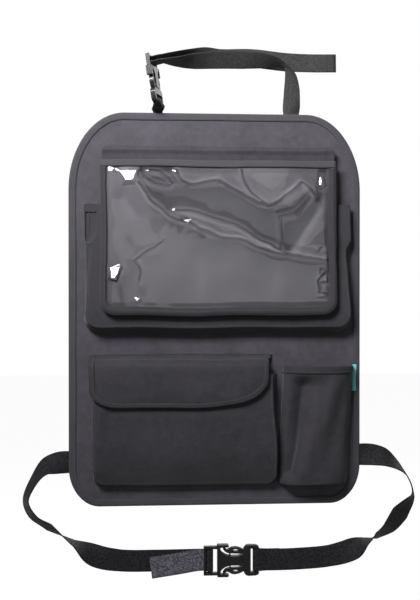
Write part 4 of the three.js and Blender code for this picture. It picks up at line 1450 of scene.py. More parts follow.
@dataclass
class TabletSleeve:
    """Sleeve with a clear window, leaned back against the big pocket's front."""

    shop: Workshop
    pocket: LargePocket
    left: float = -156.0
    right: float = 163.0
    top: float = 221.0
    bottom: float = -8.0
    slot: float = 6.6
    front_drop: float = 20.0
    corner: float = 20.0
    welt: float = 9.0
    tape_width: float = 8.0
    margins: tuple[float, float, float] = (8.5, 10.5, 11.0)

    def __post_init__(self) -> None:
        """Works out the lean and the sizes that follow from it."""
        self.lean = math.atan(self.pocket.slope)
        self.middle = (self.left + self.right) / 2
        self.half = (self.right - self.left) / 2
        self.height = (self.top - self.bottom) / math.cos(self.lean)
        self.front_height = self.height - self.front_drop
        low = self.pocket.front(np.array(self.middle), np.array(self.bottom))
        self.foot = low[1] - SEAM * math.cos(self.lean)
        self.film_y = -REACH - CLOTH_THICK - self.slot
        self.frame_y = self.film_y - FILM_THICK - SEAM
        self.depth = 2 * REACH + 2 * CLOTH_THICK + self.slot + FILM_THICK + SEAM
        self.facing = (0.0, -math.cos(self.lean), math.sin(self.lean))

    def face(self, depth: float) -> Field:
        """Plane inside the leaning sleeve.

        Args:
            depth: Its depth in the sleeve's own frame.

        Returns:
            The plane, with t counted from the sleeve's foot.
        """
        sine, cosine = math.sin(self.lean), math.cos(self.lean)

        def plane(x: np.ndarray, t: np.ndarray) -> np.ndarray:
            """Points of the plane."""
            y = self.foot + depth * cosine + t * sine
            z = self.bottom - depth * sine + t * cosine
            return np.stack([self.middle + x + 0 * t, y + 0 * x, z + 0 * x], axis=-1)

        return plane

    def bag(self, inset: float, top: float) -> Outline:
        """The sleeve's outline.

        Args:
            inset: How far it is drawn in.
            top: Its top.

        Returns:
            The outline.
        """
        low = (self.corner - inset, self.corner - inset)
        high = (9.0, 9.0) if top > self.front_height else (3.0, 3.0)
        return Outline(-self.half + inset, self.half - inset, inset, top, low, low, high, high)

    def window(self, spread: float) -> Outline:
        """The window's outline.

        Args:
            spread: How far it is spread out.

        Returns:
            The outline.
        """
        left, right, bottom = (margin - spread for margin in self.margins)
        low, high = (12.5 + spread, 12.5 + spread), (2.5, 2.5)
        top = self.front_height - self.welt + 0.6 + spread
        return Outline(left - self.half, self.half - right, bottom, top, low, low, high, high)

    def crumpled(self, x: np.ndarray, t: np.ndarray) -> tuple[np.ndarray, np.ndarray]:
        """Places moved a little, so that no fold runs straight."""
        u = x + 2.6 * ripples(x, t, 20, 7) + 1.1 * ripples(x, t, 8, 17)
        return u, t + 2.6 * ripples(x, t, 22, 8) + 1.1 * ripples(x, t, 9, 18)

    def film_relief(self, x: np.ndarray, t: np.ndarray) -> np.ndarray:
        """Waves, creases and dents of the clear film.

        Args:
            x, t: Places across and up the window.

        Returns:
            How far the film stands out, never further back than its seat.
        """
        area = self.window(-1)
        edge = fade(x, area.left, area.right, 5) * fade(t, area.bottom, area.top, 6)
        u, v = self.crumpled(x, t)
        height = 1.2 + 1.0 * ripples(x, t, 95, 5) + 0.35 * ripples(x, t, 34, 6, 1.4)
        for fold in CREASES:
            height += fold.rise * np.exp(-away_from(u, v, fold.line) / fold.width)
        for (cx, ct), (wide, high) in GLINTS:
            right, down = (u - cx) / wide + 0.5, 0.5 - (v - ct) / high
            slant = 0.35 * (down - 0.5) * (1 if cx < 0 else -1)
            across = np.minimum(right - slant, 1 - right - slant)
            mask = np.clip(np.minimum(across, np.minimum(down, 1 - down)) * 6 + 0.5, 0, 1)
            fall = 0.13 + 0.0009 * (190 - ct)
            facet = 0.4 + 0.15 * wide * np.clip(right, 0, 1) + fall * high * np.clip(down, 0, 1)
            height += mask * (facet - height)
        return edge * np.clip(height, -0.4, 7.0)

    def painted_film_reflection(self, x: np.ndarray, t: np.ndarray) -> np.ndarray:
        """Painted reflection of the film: how pale it is painted, in patches, light columns and bands by the
        folds.

        Args:
            x, t: Places across and up the window.

        Returns:
            0 clear, 1 palest.
        """
        u, v = self.crumpled(x, t)
        # Painted reflection over the whole film, a little uneven.
        milk = 0.25 + 0.04 * ripples(x, t, 70, 35) + 0.02 * ripples(x, t, 14, 36)
        # Painted light: three pale columns running down the film.
        for middle in (-117, -24, 76):
            milk += 0.1 * bump_at(x, t, (middle + 0.1 * (t - 40), 40), (9, 40))
        # Painted reflection set area by area.
        for area in PAINTED_REFLECTION_AREAS:
            milk += patch(u, v, area.corners, area.soft) * (area.milk - milk)
        # Painted highlight in a band beside each fold, and painted shade along the fold's line.
        for fold in CREASES:
            away = away_from(u, v, fold.line)
            milk += 0.07 * fold.rise * np.exp(-((away - 3.5) / 2.0) ** 2) - 0.3 * np.exp(-(away / 1.3) ** 2)
        return np.clip(milk, 0, 1)

    def build(self) -> None:
        """Makes the sleeve's pieces."""
        wide = 2 * (self.half - REACH)
        back = skin(self.face(-REACH), self.bag(REACH, self.height), 0, CLOTH_THICK, 3.2, self.back_relief)
        on = ["upper_pocket_front_look"]
        self.shop.cloth("sleeve_back_look", back, SLEEVE_CLOTH_PAINTED_SHADE, (wide, self.height), Held.HUNG, on)
        self._frame()
        self._film()
        self._binding()
        self._mouth(wide)
        self._closure()

    def back_relief(self, x: np.ndarray, t: np.ndarray) -> np.ndarray:
        """Slack of the back cloth, and the hem turned over at its top."""
        slack = 0.25 * ripples(x, t, 45, 11) * ramp(t, 40)
        return slack + 2.6 * ramp(t - self.height + 21, 13) + 1.7 * ramp(t - self.height + 8, 0.8)

    def _film(self) -> None:
        """Makes the clear window, and writes its painted reflection at each corner of its mesh."""
        film = skin(self.face(self.film_y), self.window(3.5), 0, FILM_THICK, 1.4, self.film_relief)
        on = ["sleeve_front_frame_look"]
        made = self.shop.cloth("sleeve_window_look", film, FILM, (307, 202), Held.STRETCHED, on)
        flat = np.empty(2 * len(made.data.loops))
        made.data.uv_layers[0].data.foreach_get("uv", flat)
        flat = flat.reshape(-1, 2) / MM
        # Painted reflection stored on each corner of the film's mesh.
        milk = made.data.attributes.new("milk", "FLOAT", "CORNER")
        milk.data.foreach_set("value", self.painted_film_reflection(flat[:, 0], flat[:, 1]))

    def _frame(self) -> None:
        """Makes the cloth frame round the window."""
        outer, _ = self.bag(REACH, self.front_height - 1.1).path(True, 60, 16)
        inner, _ = self.window(0).path(True, 60, 16)
        share = np.linspace(0, 1, 6)[:, None, None]
        rim, hole = (np.append(line, line[:1], axis=0)[None] for line in (outer, inner))
        grid = rim * (1 - share) + hole * share
        x, t = grid[..., 0], grid[..., 1]
        slack = 0.25 * ripples(x, t, 24, 12) * np.sin(np.pi * share[..., 0])
        plane = self.face(self.frame_y)
        front, back = lifted(plane, x, t, CLOTH_THICK + slack), lifted(plane, x, t, slack)
        run = (lengths(outer)[-1] + lengths(inner)[-1]) / 2
        shell, on = thick_grid(front, back, np.stack([x, t], axis=-1)), ["sleeve_edge_binding_look"]
        self.shop.cloth("sleeve_front_frame_look", shell, POCKET_CLOTH_PAINTED_SHADE, (10, run), Held.STRETCHED, on)

    def _binding(self) -> None:
        """Folds tape over the sides and bottom, and sews it."""
        path, outward = self.bag(0, self.front_height - self.welt - SEAM + 3).path(False, 70, 18)
        sizes = (self.tape_width, self.depth)
        tape = edge_tape(self.face(0.0), path, outward, False, self.depth / 2, *sizes)
        flat = (2 * self.tape_width + self.depth, lengths(path)[-1])
        on = ["sleeve_back_look"]
        self.shop.cloth("sleeve_edge_binding_look", tape, POCKET_TAPE_PAINTED_SHADE, flat, Held.FOLDED, on)
        line = path - outward * (self.tape_width - 1.8)
        points = lifted(self.face(0.0), line[:, 0], line[:, 1], self.depth)
        self.shop.sew("sleeve_stitches", stitches(points, self.facing))

    def _mouth(self, wide: float) -> None:
        """Makes the welt along the top of the frame.

        Args:
            wide: The welt's length.
        """
        depth = -self.frame_y + self.film_y + CLOTH_THICK + SEAM + 2 * TAPE_THICK
        x = np.linspace(-self.half + REACH, self.half - REACH, 90)
        path = np.stack([x, np.full(len(x), self.front_height)], axis=1)
        outward = np.tile((0.0, 1.0), (len(x), 1))
        middle = -(self.film_y + TAPE_THICK) + depth / 2
        welt = edge_tape(self.face(0.0), path, outward, False, middle, self.welt, depth)
        flat = (2 * self.welt + depth, wide)
        on = ["sleeve_front_frame_look"]
        self.shop.cloth("sleeve_mouth_hem_look", welt, WELT, flat, Held.FOLDED, on)
        row = self.front_height - self.welt + 2
        points = lifted(self.face(0.0), x, 0 * x + row, middle + depth / 2)
        self.shop.sew("sleeve_mouth_stitches", stitches(points, self.facing))

    def _closure(self) -> None:
        """Makes the hook and loop tapes inside the mouth."""
        area = Outline(-28, 28, self.front_height - 12, self.front_height - 2)
        loop = skin(self.face(-REACH - CLOTH_THICK - SEAM), area, 0, HOOK_THICK, 2)
        hook = skin(self.face(self.film_y + TAPE_THICK + SEAM + HOOK_THICK), area, 0, HOOK_THICK, 2)
        for name, tape, on in (("loop", loop, "sleeve_back_look"), ("hook", hook, "sleeve_mouth_hem_look")):
            self.shop.cloth(f"sleeve_{name}_tape_look", tape, HOOK_LOOP, (56, 10.5), Held.STRETCHED, [on])


@dataclass
class FlapPocket(BoxPocket):
    """Bellied pocket with a bound flap over its mouth."""

    shop: Workshop
    area: Outline = Outline(-166, 85, -236, -88, (14, 14), (14, 14))
    depth: float = 24.0
    crown: float = 5.0
    flare: float = 6.0
    flap_left: float = -171.0
    flap_right: float = 77.0
    flap_top: float = -60.0
    flap_drop: float = 134.0
    flap_thick: float = 2.0
    flap_gap: float = 3.6
    tape_width: float = 7.0
    closure: Pair = (70.0, 18.0)
    closure_low: float = -123.0

    def __post_init__(self) -> None:
        """Draws the flap's section, from its lower edge up to the panel."""
        self.foot = PANEL_FRONT - 2 * SEAM - TAPE_THICK - self.flap_thick
        self.reach = PANEL_FRONT - self.depth - self.crown - self.flap_gap - self.flap_thick - self.foot
        turn = ((1, 32), (0.98, 19), (0.91, 12), (0.7, 8), (0.36, 6.4), (0.1, 5.4), (0, 4), (0, 0))
        section = [(1, -self.flap_drop), (1, -self.flap_drop + 22)]
        section += [(out, self.flap_top - down) for out, down in turn]
        self.section = smooth_line(np.array([(-self.reach * out, z) for out, z in section]), 24)
        self.run = lengths(self.section)
        self.length = float(self.run[-1])

    def belly(self, x: np.ndarray) -> np.ndarray:
        """How far the front bellies out at its middle height."""
        across = (2 * x - self.area.left - self.area.right) / (self.area.right - self.area.left)
        return self.crown * (1 - across ** 2)

    def front(self, x: np.ndarray, t: np.ndarray) -> np.ndarray:
        """Front of the pocket.

        Args:
            x, t: Places across it, and its levels.

        Returns:
            The points.
        """
        up = (2 * t - self.area.bottom - self.area.top) / (self.area.top - self.area.bottom)
        y = PANEL_FRONT - self.depth - self.belly(x) * (1 - up ** 2)
        return np.stack([x + 0 * t, y, t + 0 * x], axis=-1)

    def relief(self, x: np.ndarray, t: np.ndarray) -> np.ndarray:
        """Dents at the sides and soft waves below the flap.

        Args:
            x, t: Places across the front, and its levels.

        Returns:
            How far the cloth stands out.
        """
        free = ramp(-120 - t, 20) * ramp(t + 232, 14)
        waves = 0.5 * ripples(x, t, 48, 21) + 0.16 * ripples(x, t, 15, 22)
        dents = -1.6 * bump_at(x, t, (-143, -160), (10, 42)) + 0.9 * bump_at(x, t, (-158, -190), (5, 50))
        ridge = 0.7 * bump_at(x, t, (-30, -150), (60, 16)) - 0.7 * bump_at(x, t, (-52, -224), (30, 6), 18)
        return free * (waves + dents + ridge)

    def face(self, x: np.ndarray, t: np.ndarray) -> np.ndarray:
        """Outer face of the flap, with t counted from its lower edge along the cloth.

        Args:
            x, t: Places across and up it.

        Returns:
            The points.
        """
        along = np.clip(t, 0, self.length)
        out = np.interp(along, self.run, self.section[:, 0])
        z = np.interp(along, self.run, self.section[:, 1])
        fullness = (self.reach + self.crown - self.belly(x)) / self.reach
        return np.stack([x + 0 * t, self.foot - out * fullness, z + (t - along)], axis=-1)

    def flap_relief(self, x: np.ndarray, t: np.ndarray) -> np.ndarray:
        """Soft waves of the flap.

        Args:
            x, t: Places across and up it.

        Returns:
            How far the cloth stands out.
        """
        low, high = self.flap.drawn_in(self.tape_width + 1).span(t)
        edge = fade(x, low, high, 16) * fade(t, self.tape_width, self.length - 14, 12)
        waves = 0.9 + 0.9 * ripples(x, t, 46, 23) + 0.25 * ripples(x, t, 16, 24)
        return edge * np.clip(waves, 0, 2.4)

    @property
    def flap(self) -> Outline:
        """The flap's outline."""
        return Outline(self.flap_left, self.flap_right, 0.0, self.length, (42, 29), (110, 42))

    def build(self) -> None:
        """Makes the pocket's pieces."""
        back = lambda t: np.full(np.shape(t), PANEL_FRONT - self.depth + REACH + 0.2)
        gusset = Gusset(self.area, self.flare, back, 1.2).shell(14)
        self.make("flap_pocket", gusset, 4, (2.4, 12), self.area.top + 9)
        self._flap()
        self._closure()

    def _flap(self) -> None:
        """Makes the flap and its bound edge."""
        flap = skin(self.face, self.flap, -self.flap_thick, 0, 2.2, self.flap_relief)
        flat, on = (self.flap_right - self.flap_left, self.length), ["panel_face_look"]
        self.shop.cloth("pocket_flap_look", flap, POCKET_CLOTH_PAINTED_SHADE, flat, Held.FOLDED, on, share=0.94)
        path, outward = self.flap.path(False, 60, 26)
        keep = path[:, 1] < self.length - 1
        path, outward = path[keep], outward[keep]
        depth = self.flap_thick + 2 * REACH
        sizes = (self.tape_width + REACH, depth, REACH)
        tape = edge_tape(self.face, path, outward, False, -self.flap_thick / 2, *sizes)
        flat = (2 * self.tape_width + depth, lengths(path)[-1])
        self.shop.cloth("flap_binding_look", tape, POCKET_TAPE_PAINTED_SHADE, flat, Held.FOLDED, ["pocket_flap_look"])
        line = path - outward * (self.tape_width - 1.8)
        points = lifted(self.face, line[:, 0], line[:, 1], REACH)
        below = lifted(self.face, line[:, 0], line[:, 1], 0.0)
        self.shop.sew("flap_stitches", stitches(points, (points - below) / REACH))

    def _closure(self) -> None:
        """Makes the hook and loop tapes between the flap and the front."""
        middle, (wide, high) = (self.area.left + self.area.right) / 2, self.closure
        at = lambda low: Outline(middle - wide / 2, middle + wide / 2, low, low + high)
        behind = -self.flap_thick - SEAM
        hook = skin(self.front, at(self.closure_low), SEAM, SEAM + HOOK_THICK, 2.5)
        loop = skin(self.face, at(self.flap_drop + self.closure_low), behind - HOOK_THICK, behind, 2.5)
        for name, tape, on in (("hook", hook, "flap_pocket_front_look"), ("loop", loop, "pocket_flap_look")):
            self.shop.cloth(f"flap_{name}_tape_look", tape, HOOK_LOOP, self.closure, Held.STRETCHED, [on])


def smooth_line(knots: np.ndarray, samples: int) -> np.ndarray:
    """Uniform spline through points in a plane.

    Args:
        knots: The points.
        samples: Samples between two of them.

    Returns:
        The line's points.
    """
    ends = np.concatenate([knots[:1], knots, knots[-1:]])
    share = np.linspace(0, 1, samples, endpoint=False)[:, None]
    spans = []
    for a, b, c, d in zip(ends, ends[1:], ends[2:], ends[3:]):
        slope, next_slope = (c - a) / 2, (d - b) / 2
        spans.append(
            (2 * b - 2 * c + slope + next_slope) * share ** 3
            + (-3 * b + 3 * c - 2 * slope - next_slope) * share ** 2 + slope * share + b
        )
    return np.concatenate([*spans, knots[-1:]])


@dataclass
class BottlePocket:
    """Half-round pocket, a little aslant, with a hemmed mouth, a floor and the ribbon tag in its seam."""

    shop: Workshop
    left: float = 93.0
    right: float = 188.0
    mouth: float = -76.0
    bottom: float = -236.0
    depth: float = 33.0
    roundness: float = 2.6
    skew: float = 7.0
    hem: float = 10.0
    ribbon: tuple[float, float, float] = (0.6, 5.6, 36.0)

    def face(self, x: np.ndarray, t: np.ndarray) -> np.ndarray:
        """Outer face of the wall; x runs evenly round it.

        Args:
            x, t: Places round it, and its levels.

        Returns:
            The points.
        """
        share = (x - self.left) / (self.right - self.left)
        angle = np.pi * (1 - share)
        round_off = lambda value: np.sign(value) * np.abs(value) ** (2 / self.roundness)
        shift = -self.skew * (self.mouth - t) / (self.mouth - self.bottom)
        half = (self.right - self.left) / 2
        across = (self.left + self.right) / 2 + half * round_off(np.cos(angle)) + shift
        y = POCKET_BACK - self.depth * round_off(np.sin(angle))
        return np.stack([across, y + 0 * t, t + 0 * x], axis=-1)

    def even(self, t: float, count: int) -> np.ndarray:
        """Places spaced evenly along the wall's curve.

        Args:
            t: The level.
            count: How many places.

        Returns:
            The places.
        """
        x = np.linspace(self.left, self.right, 1200)
        run = lengths(self.face(x, np.full(len(x), t)))
        return np.interp(np.linspace(0, run[-1], count), run, x)

    def relief(self, x: np.ndarray, t: np.ndarray) -> np.ndarray:
        """Flat facets and soft dents of the wall.

        Args:
            x, t: Places round the wall, and its levels.

        Returns:
            How far the cloth stands out.
        """
        side = fade(x, self.left, self.right, 12)
        free = ramp(self.mouth - 12 - t, 14) * ramp(t - self.bottom - 4, 12)
        lean = x - 0.15 * (t + 150)
        ridge = 3.0 * bump_at(lean, t, (143, -150), (7, 95)) - 18.0 * bump_at(lean, t, (120, -150), (12, 105))
        dents = -4.0 * bump_at(lean, t, (155, -165), (10, 75)) - 2.0 * bump_at(x, t, (176, -170), (7, 60))
        return side * free * (ridge + dents + 0.5 * ripples(x, t, 28, 31, 2.0) + 0.15 * ripples(x, t, 9, 32))

    def build(self) -> None:
        """Makes the pocket's pieces."""
        wall_top = self.mouth - REACH
        places = self.even(self.mouth, 110)
        x, t = np.broadcast_arrays(places, np.linspace(self.bottom, wall_top, 70)[:, None])
        relief = self.relief(x, t)
        run = lengths(self.face(x[0], t[0]))
        front, back = lifted(self.face, x, t, relief), lifted(self.face, x, t, relief - CLOTH_THICK)
        wall = thick_grid(front, back, np.stack([np.broadcast_to(run, x.shape), t], axis=-1))
        flat, on = (float(run[-1]), wall_top - self.bottom), ["panel_face_look"]
        self.shop.cloth("bottle_pocket_wall_look", wall, POCKET_CLOTH_PAINTED_SHADE, flat, Held.HUNG, on)
        path = np.stack([places, np.full(len(places), self.mouth)], axis=1)
        depth = CLOTH_THICK + 2 * REACH
        up = np.tile((0.0, 1.0), (len(places), 1))
        tape = edge_tape(self.face, path, up, False, -CLOTH_THICK / 2, self.hem, depth)
        flat, on = (2 * self.hem + depth, float(run[-1])), ["bottle_pocket_wall_look"]
        self.shop.cloth("bottle_pocket_hem_look", tape, POCKET_TAPE_PAINTED_SHADE, flat, Held.FOLDED, on)
        row = (path[2:-2, 0], path[2:-2, 1] - self.hem + 1.8)
        points, below = lifted(self.face, *row, REACH), lifted(self.face, *row, 0.0)
        self.shop.sew("bottle_pocket_stitches", stitches(points, (points - below) / REACH))
        self._floor()
        self._tag()

    def _floor(self) -> None:
        """Makes the half-round floor."""
        level = self.bottom + SEAM
        x = self.even(level, 60)
        edge = lifted(self.face, x, np.full(len(x), level), -CLOTH_THICK - SEAM)
        share = np.linspace(0, 1, 16)[:, None, None]
        straight = edge.copy()
        straight[:, 1] = POCKET_BACK
        low = straight[None] * (1 - share) + edge[None] * share
        low[..., 2] = level
        low[..., 1] = np.minimum(low[..., 1], POCKET_BACK - 0.02 * share[..., 0])
        low = low[:, 2:-2]
        floor = thick_grid(low + (0, 0, CLOTH_THICK), low, low[..., [0, 1]])
        flat, on = (x[-1] - x[0], self.depth), ["bottle_pocket_wall_look"]
        self.shop.cloth("bottle_pocket_base_look", floor, POCKET_CLOTH_PAINTED_SHADE, flat, Held.STRETCHED, on, share=0.85)

    def _tag(self) -> None:
        """Makes the ribbon folded in two in the right seam."""
        thick, reach, length = self.ribbon
        fold = thick + SEAM / 2
        angle = np.linspace(math.pi / 2, -math.pi / 2, 13)
        nose, inner = (
            np.stack([reach - fold + size * np.cos(turn), -fold + size * np.sin(turn)], axis=1)
            for size, turn in ((fold, angle), (fold - thick, angle[::-1]))
        )
        ends = lambda y: [[share * (reach - fold), y] for share in (0.0, 0.5)]
        section = np.array([
            *ends(0.0), *nose, *ends(-2 * fold)[::-1], *ends(thick - 2 * fold), *inner, *ends(-thick)[::-1],
        ])
        slant = math.atan(self.skew / (self.mouth - self.bottom))
        down = np.linspace(0, -length, 24)[:, None]
        out = section[:, 0] + 0.25 * np.sin(down / 9)
        x = self.right + 2 * SEAM + TAPE_THICK + out * math.cos(slant) + down * math.sin(slant)
        y = PANEL_FRONT - 2 * SEAM - TAPE_THICK + section[:, 1] + 0 * down
        z = self.mouth + down * math.cos(slant) - out * math.sin(slant)
        across = lengths(np.append(section, section[:1], axis=0))
        uv = np.stack([across + 0 * down, down + 0 * across], axis=-1)
        tag = swept(np.stack([x, y, z], axis=-1), uv, False)
        self.shop.cloth("side_tag_look", tag, TEAL, (2 * reach, length), Held.FOLDED, ["panel_face_look"])


class BuckleFrame:
    """Sizes of a side-release buckle for one webbing width, and its place on the organizer."""

    bar_gap: float = 0.45
    webbing: float = 1.5

    def __init__(
        self, web: float, place: Sequence[float], lean: Optional[float] = None, turn: float = 0.0,
    ) -> None:
        """Works out the bars and the directions.

        Args:
            web: Width of the webbing.
            place: Place of the adjuster's end.
            lean: Lean from the vertical, for a buckle that hangs.
            turn: Turn about its own length.
        """
        scale = web / 30.0
        self.bar_half = self.outer_half = self.outer_bar = 2 * scale
        self.inner_half = 2.2 * scale
        gap = self.webbing + 2.6 * self.bar_gap
        self.inner_bar = 2 * self.outer_half + gap + self.inner_half
        self.between = 2 * self.outer_half + gap / 2
        housing = self.inner_bar + self.inner_half + self.bar_gap + self.webbing + 5.4 * scale
        self.end_half = 3.2 * scale
        self.end_bar = housing + (72 - 18.3) * scale
        self.on_bar = self.bar_half + self.bar_gap + self.webbing / 2
        self.place = np.array(place, dtype=float)
        self.axes = np.eye(3)
        if lean is not None:
            down = np.array((math.sin(lean), 0, -math.cos(lean)))
            side = np.array((math.cos(lean), 0, math.sin(lean)))
            across = np.array((0, math.cos(turn), 0)) + side * math.sin(turn)
            self.axes = np.stack([down, np.cross(across, down), across])

    def stations(self, rows: Sequence[Pair], flip: bool) -> list:
        """Stations of the webbing in the buckle."""
        across = -self.axes[2] if flip else self.axes[2]
        return [[*(self.place + u * self.axes[0] + y * self.axes[1]), *across] for u, y in rows]

    def round_bar(self, middle: float, half: float, eighths: Sequence[int]) -> list:
        """Places round a bar.

        Args:
            middle: Where the bar is.
            half: Half its size along the buckle.
            eighths: Angles in eighths of a turn.

        Returns:
            Places along the buckle and through it.
        """
        away = self.bar_gap + self.webbing / 2
        angles = [eighth * math.pi / 4 for eighth in eighths]
        return [(middle - (half + away) * math.cos(a), (self.bar_half + away) * math.sin(a)) for a in angles]


@dataclass
class Straps:
    """The headrest strap and the lower strap, each with its buckle."""

    shop: Workshop
    thick: float = 1.5
    lower_width: float = 30.0
    upper_width: float = 25.0
    lower_tail: float = 76.0
    upper_hem: float = 16.0
    webbing_y: float = -2.05
    lower_tones: tuple = ((0.0065, 0.0065, 0.008), (0.055, 0.053, 0.066))
    upper_tones: tuple = ((0.027, 0.027, 0.028), (0.090, 0.090, 0.092))

    def _anchored(
        self, ribbon: Ribbon, place: Sequence[float], inwards: Sequence[float], across: Sequence[float],
        width: Optional[float] = None,
    ) -> Ribbon:
        """Starts a strap inside the binding."""
        edge, into = np.array(place, dtype=float), np.array(inwards, dtype=float)
        return ribbon.through([[*(edge + into * depth), *across] for depth in (12, 6, 0, -1.6)], width)

    def _weave(
        self, name: str, ribbon: Ribbon, half: str, tones: Sequence[Rgb], tail: float = 0.0, hem: float = 0.0,
    ) -> None:
        """Makes one strap.

        Args:
            name: Its name.
            ribbon: Its stations.
            half: The buckle half that it is sewn to or threaded through.
            tones: Colour of its threads in the valleys, and the paler colour of their tops, which is a
                painted highlight.
            tail: Length of the tail that shows its other, paler face.
            hem: Length of the end that is sewn down with two rows.
        """
        shell, length = ribbon.shell(7)
        start = round((length - tail) * MM, 3) if tail else NEVER
        sewn = round((length - hem / 2) * MM, 4) if hem else NEVER
        finish = WebbingFinish(Slot.WEBBING, *tones, ribbon.width * MM, start, sewn)
        on = [f"{half}_look", "edge_binding_look"]
        self.shop.cloth(f"{name}_look", shell, finish, (ribbon.width, length), Held.HUNG, on)

    def lower(self) -> None:
        """Makes the lower strap: left part with its free tail, right part sewn to its buckle half."""
        frame = BuckleFrame(self.lower_width, (-17, -11, -TOP - 74))
        tail = frame.on_bar + self.thick + SEAM
        down = (0, 0, -1)
        left = self._anchored(Ribbon(self.lower_width), (-SIDE, self.webbing_y, 61 - TOP), (1, 0, 0), down)
        left.through([
            [-214, -5, -207.4, 0, -0.4, -0.92], [-232, -10.5, -213, 0.12, -0.8, -0.6],
            [-247, -14, -232, 0.3, -0.93, -0.2], [-256, -15, -256, 0.36, -0.93, 0.09],
            [-247, -15, -277, 0.5, -0.85, 0.15], [-225, -15, -292, 0.5, -0.81, 0.3],
            [-192, -15, -314, 0, -1, 0], [-163, -13, -332, -0.54, -0.4, -0.72],
            [-131, -9, -340, *down], [-80, -6.5, -342, *down],
        ])
        left.through(frame.stations([
            (-22, tail), (frame.outer_bar, tail),
            *frame.round_bar(frame.inner_bar, frame.inner_half, (2, 3, 4, 5, 6, 7)),
            *frame.round_bar(frame.outer_bar, frame.outer_half, (3, 2)), (-7, frame.on_bar),
        ], True))
        left.through([[-50, -9.4, -345.5, -0.1, 0, -1], [-89, -11, -350.5, -0.12, 0, -1]])
        self._weave("lower_strap_left", left, "lower_buckle_female", self.lower_tones, self.lower_tail)

        right = self._anchored(Ribbon(self.lower_width), (SIDE, self.webbing_y, 67 - TOP), (-1, 0, 0), down)
        right.through([
            [219, -5, -201.3, 0, -0.4, -0.92], [237, -10.5, -206, -0.1, -0.75, -0.66],
            [261, -14, -225, -0.24, -0.96, 0.11], [271, -15, -254, -0.3, -0.86, 0.4],
            [254, -15, -280, -0.85, -0.35, 0.3], [239, -15, -299, -0.8, -0.5, 0.2],
            [221, -15, -311, -0.5, -0.8, 0.3], [207, -15, -318, 0, -1, 0],
            [186, -13, -330, 0.5, -0.4, -0.75], [157, -12, -338, *down], [110, -11.9, -341.5, *down],
        ])
        sewn, bar = (self.thick + SEAM) / 2, frame.end_bar
        right.through(frame.stations([
            (bar + 26, -sewn), (bar + 13, -sewn), (bar + 6.5, -frame.on_bar + sewn),
            *frame.round_bar(bar, frame.end_half, (6, 7, 8, 9, 10)),
            (bar + 6.5, frame.on_bar - sewn), (bar + 13, sewn), (bar + 32, sewn),
        ], True))
        self._weave("lower_strap_right", right, "lower_buckle_male", self.lower_tones)

    def upper(self) -> None:
        """Makes the headrest strap: long part with its free tail, short part sewn to its buckle half."""
        frame = BuckleFrame(self.upper_width, (-89, -14, TOP + 75), 0.155, 0.3)
        entry = frame.inner_bar + frame.inner_half + frame.bar_gap + self.thick / 2
        across = (1, 0, 0)
        long = self._anchored(Ribbon(self.upper_width), (104, self.webbing_y, TOP), (0, 0, -1), across, 22)
        long.through([
            [104, -6, 282, 0.85, -0.5, 0], [103.5, -12, 300, 0.74, -0.67, 0],
            [101, -17, 317, 0.45, -0.9, 0], [95, -19, 328.5, 0, -1, 0],
            [84, -18, 335, 0, -0.95, 0.3], [66, -16, 338, 0, -0.75, 0.66],
            [35, -13.5, 339, 0, -0.55, 0.84], [0, -13.5, 338.5, 0, -0.55, 0.84],
            [-30, -15, 336, 0, -0.75, 0.66], [-52, -17, 334.5, -0.1, -0.95, 0.3],
        ])
        long.through(frame.stations([
            (entry, -16), (entry, -6), *frame.round_bar(frame.inner_bar, frame.inner_half, (4, 3, 2, 1, 0)),
            (frame.between, -6), (frame.between, -16),
        ], True))
        long.through([
            [-52, -14.5, 342, 0, -0.92, 0.4], [-34, -10, 343.5, 0, -0.75, 0.66],
            [-15, -6.5, 345, 0, -0.5, 0.87], [5, -4.2, 343, 0, -0.2, 0.98],
            [49, -3.4, 344, 0, -0.1, 0.99], [96, -3, 339.7, 0, -0.05, 1],
            [130, -3.2, 338.7, 0, 0, 1], [166, -4, 339, 0, 0, 1],
        ])
        self._weave("upper_strap_long", long, "upper_buckle_female", self.upper_tones, hem=self.upper_hem)

        short = self._anchored(Ribbon(self.upper_width), (-79, self.webbing_y, TOP), (0, 0, -1), across, 13)
        short.through([[-79, -7, 272.4, 1, 0.05, 0], [-77.8, -13.3, 274.7, 0.92, 0.35, 0]], 17)
        bar = frame.end_bar
        short.through(frame.stations([
            (bar + 3, -frame.on_bar), *frame.round_bar(bar, frame.end_half, (6, 7, 8, 9, 10)),
            (bar + 5, frame.on_bar - SEAM),
        ], False))
        self._weave("upper_strap_short", short, "upper_buckle_male", self.upper_tones)

    def build(self) -> None:
        """Makes the straps after their buckles."""
        for node in ("lower_buckle_female", "lower_buckle_male", "upper_buckle_female", "upper_buckle_male"):
            self._buckle(node, 0.45 if node.startswith("lower") else 0.35)
        self.lower()
        self.upper()

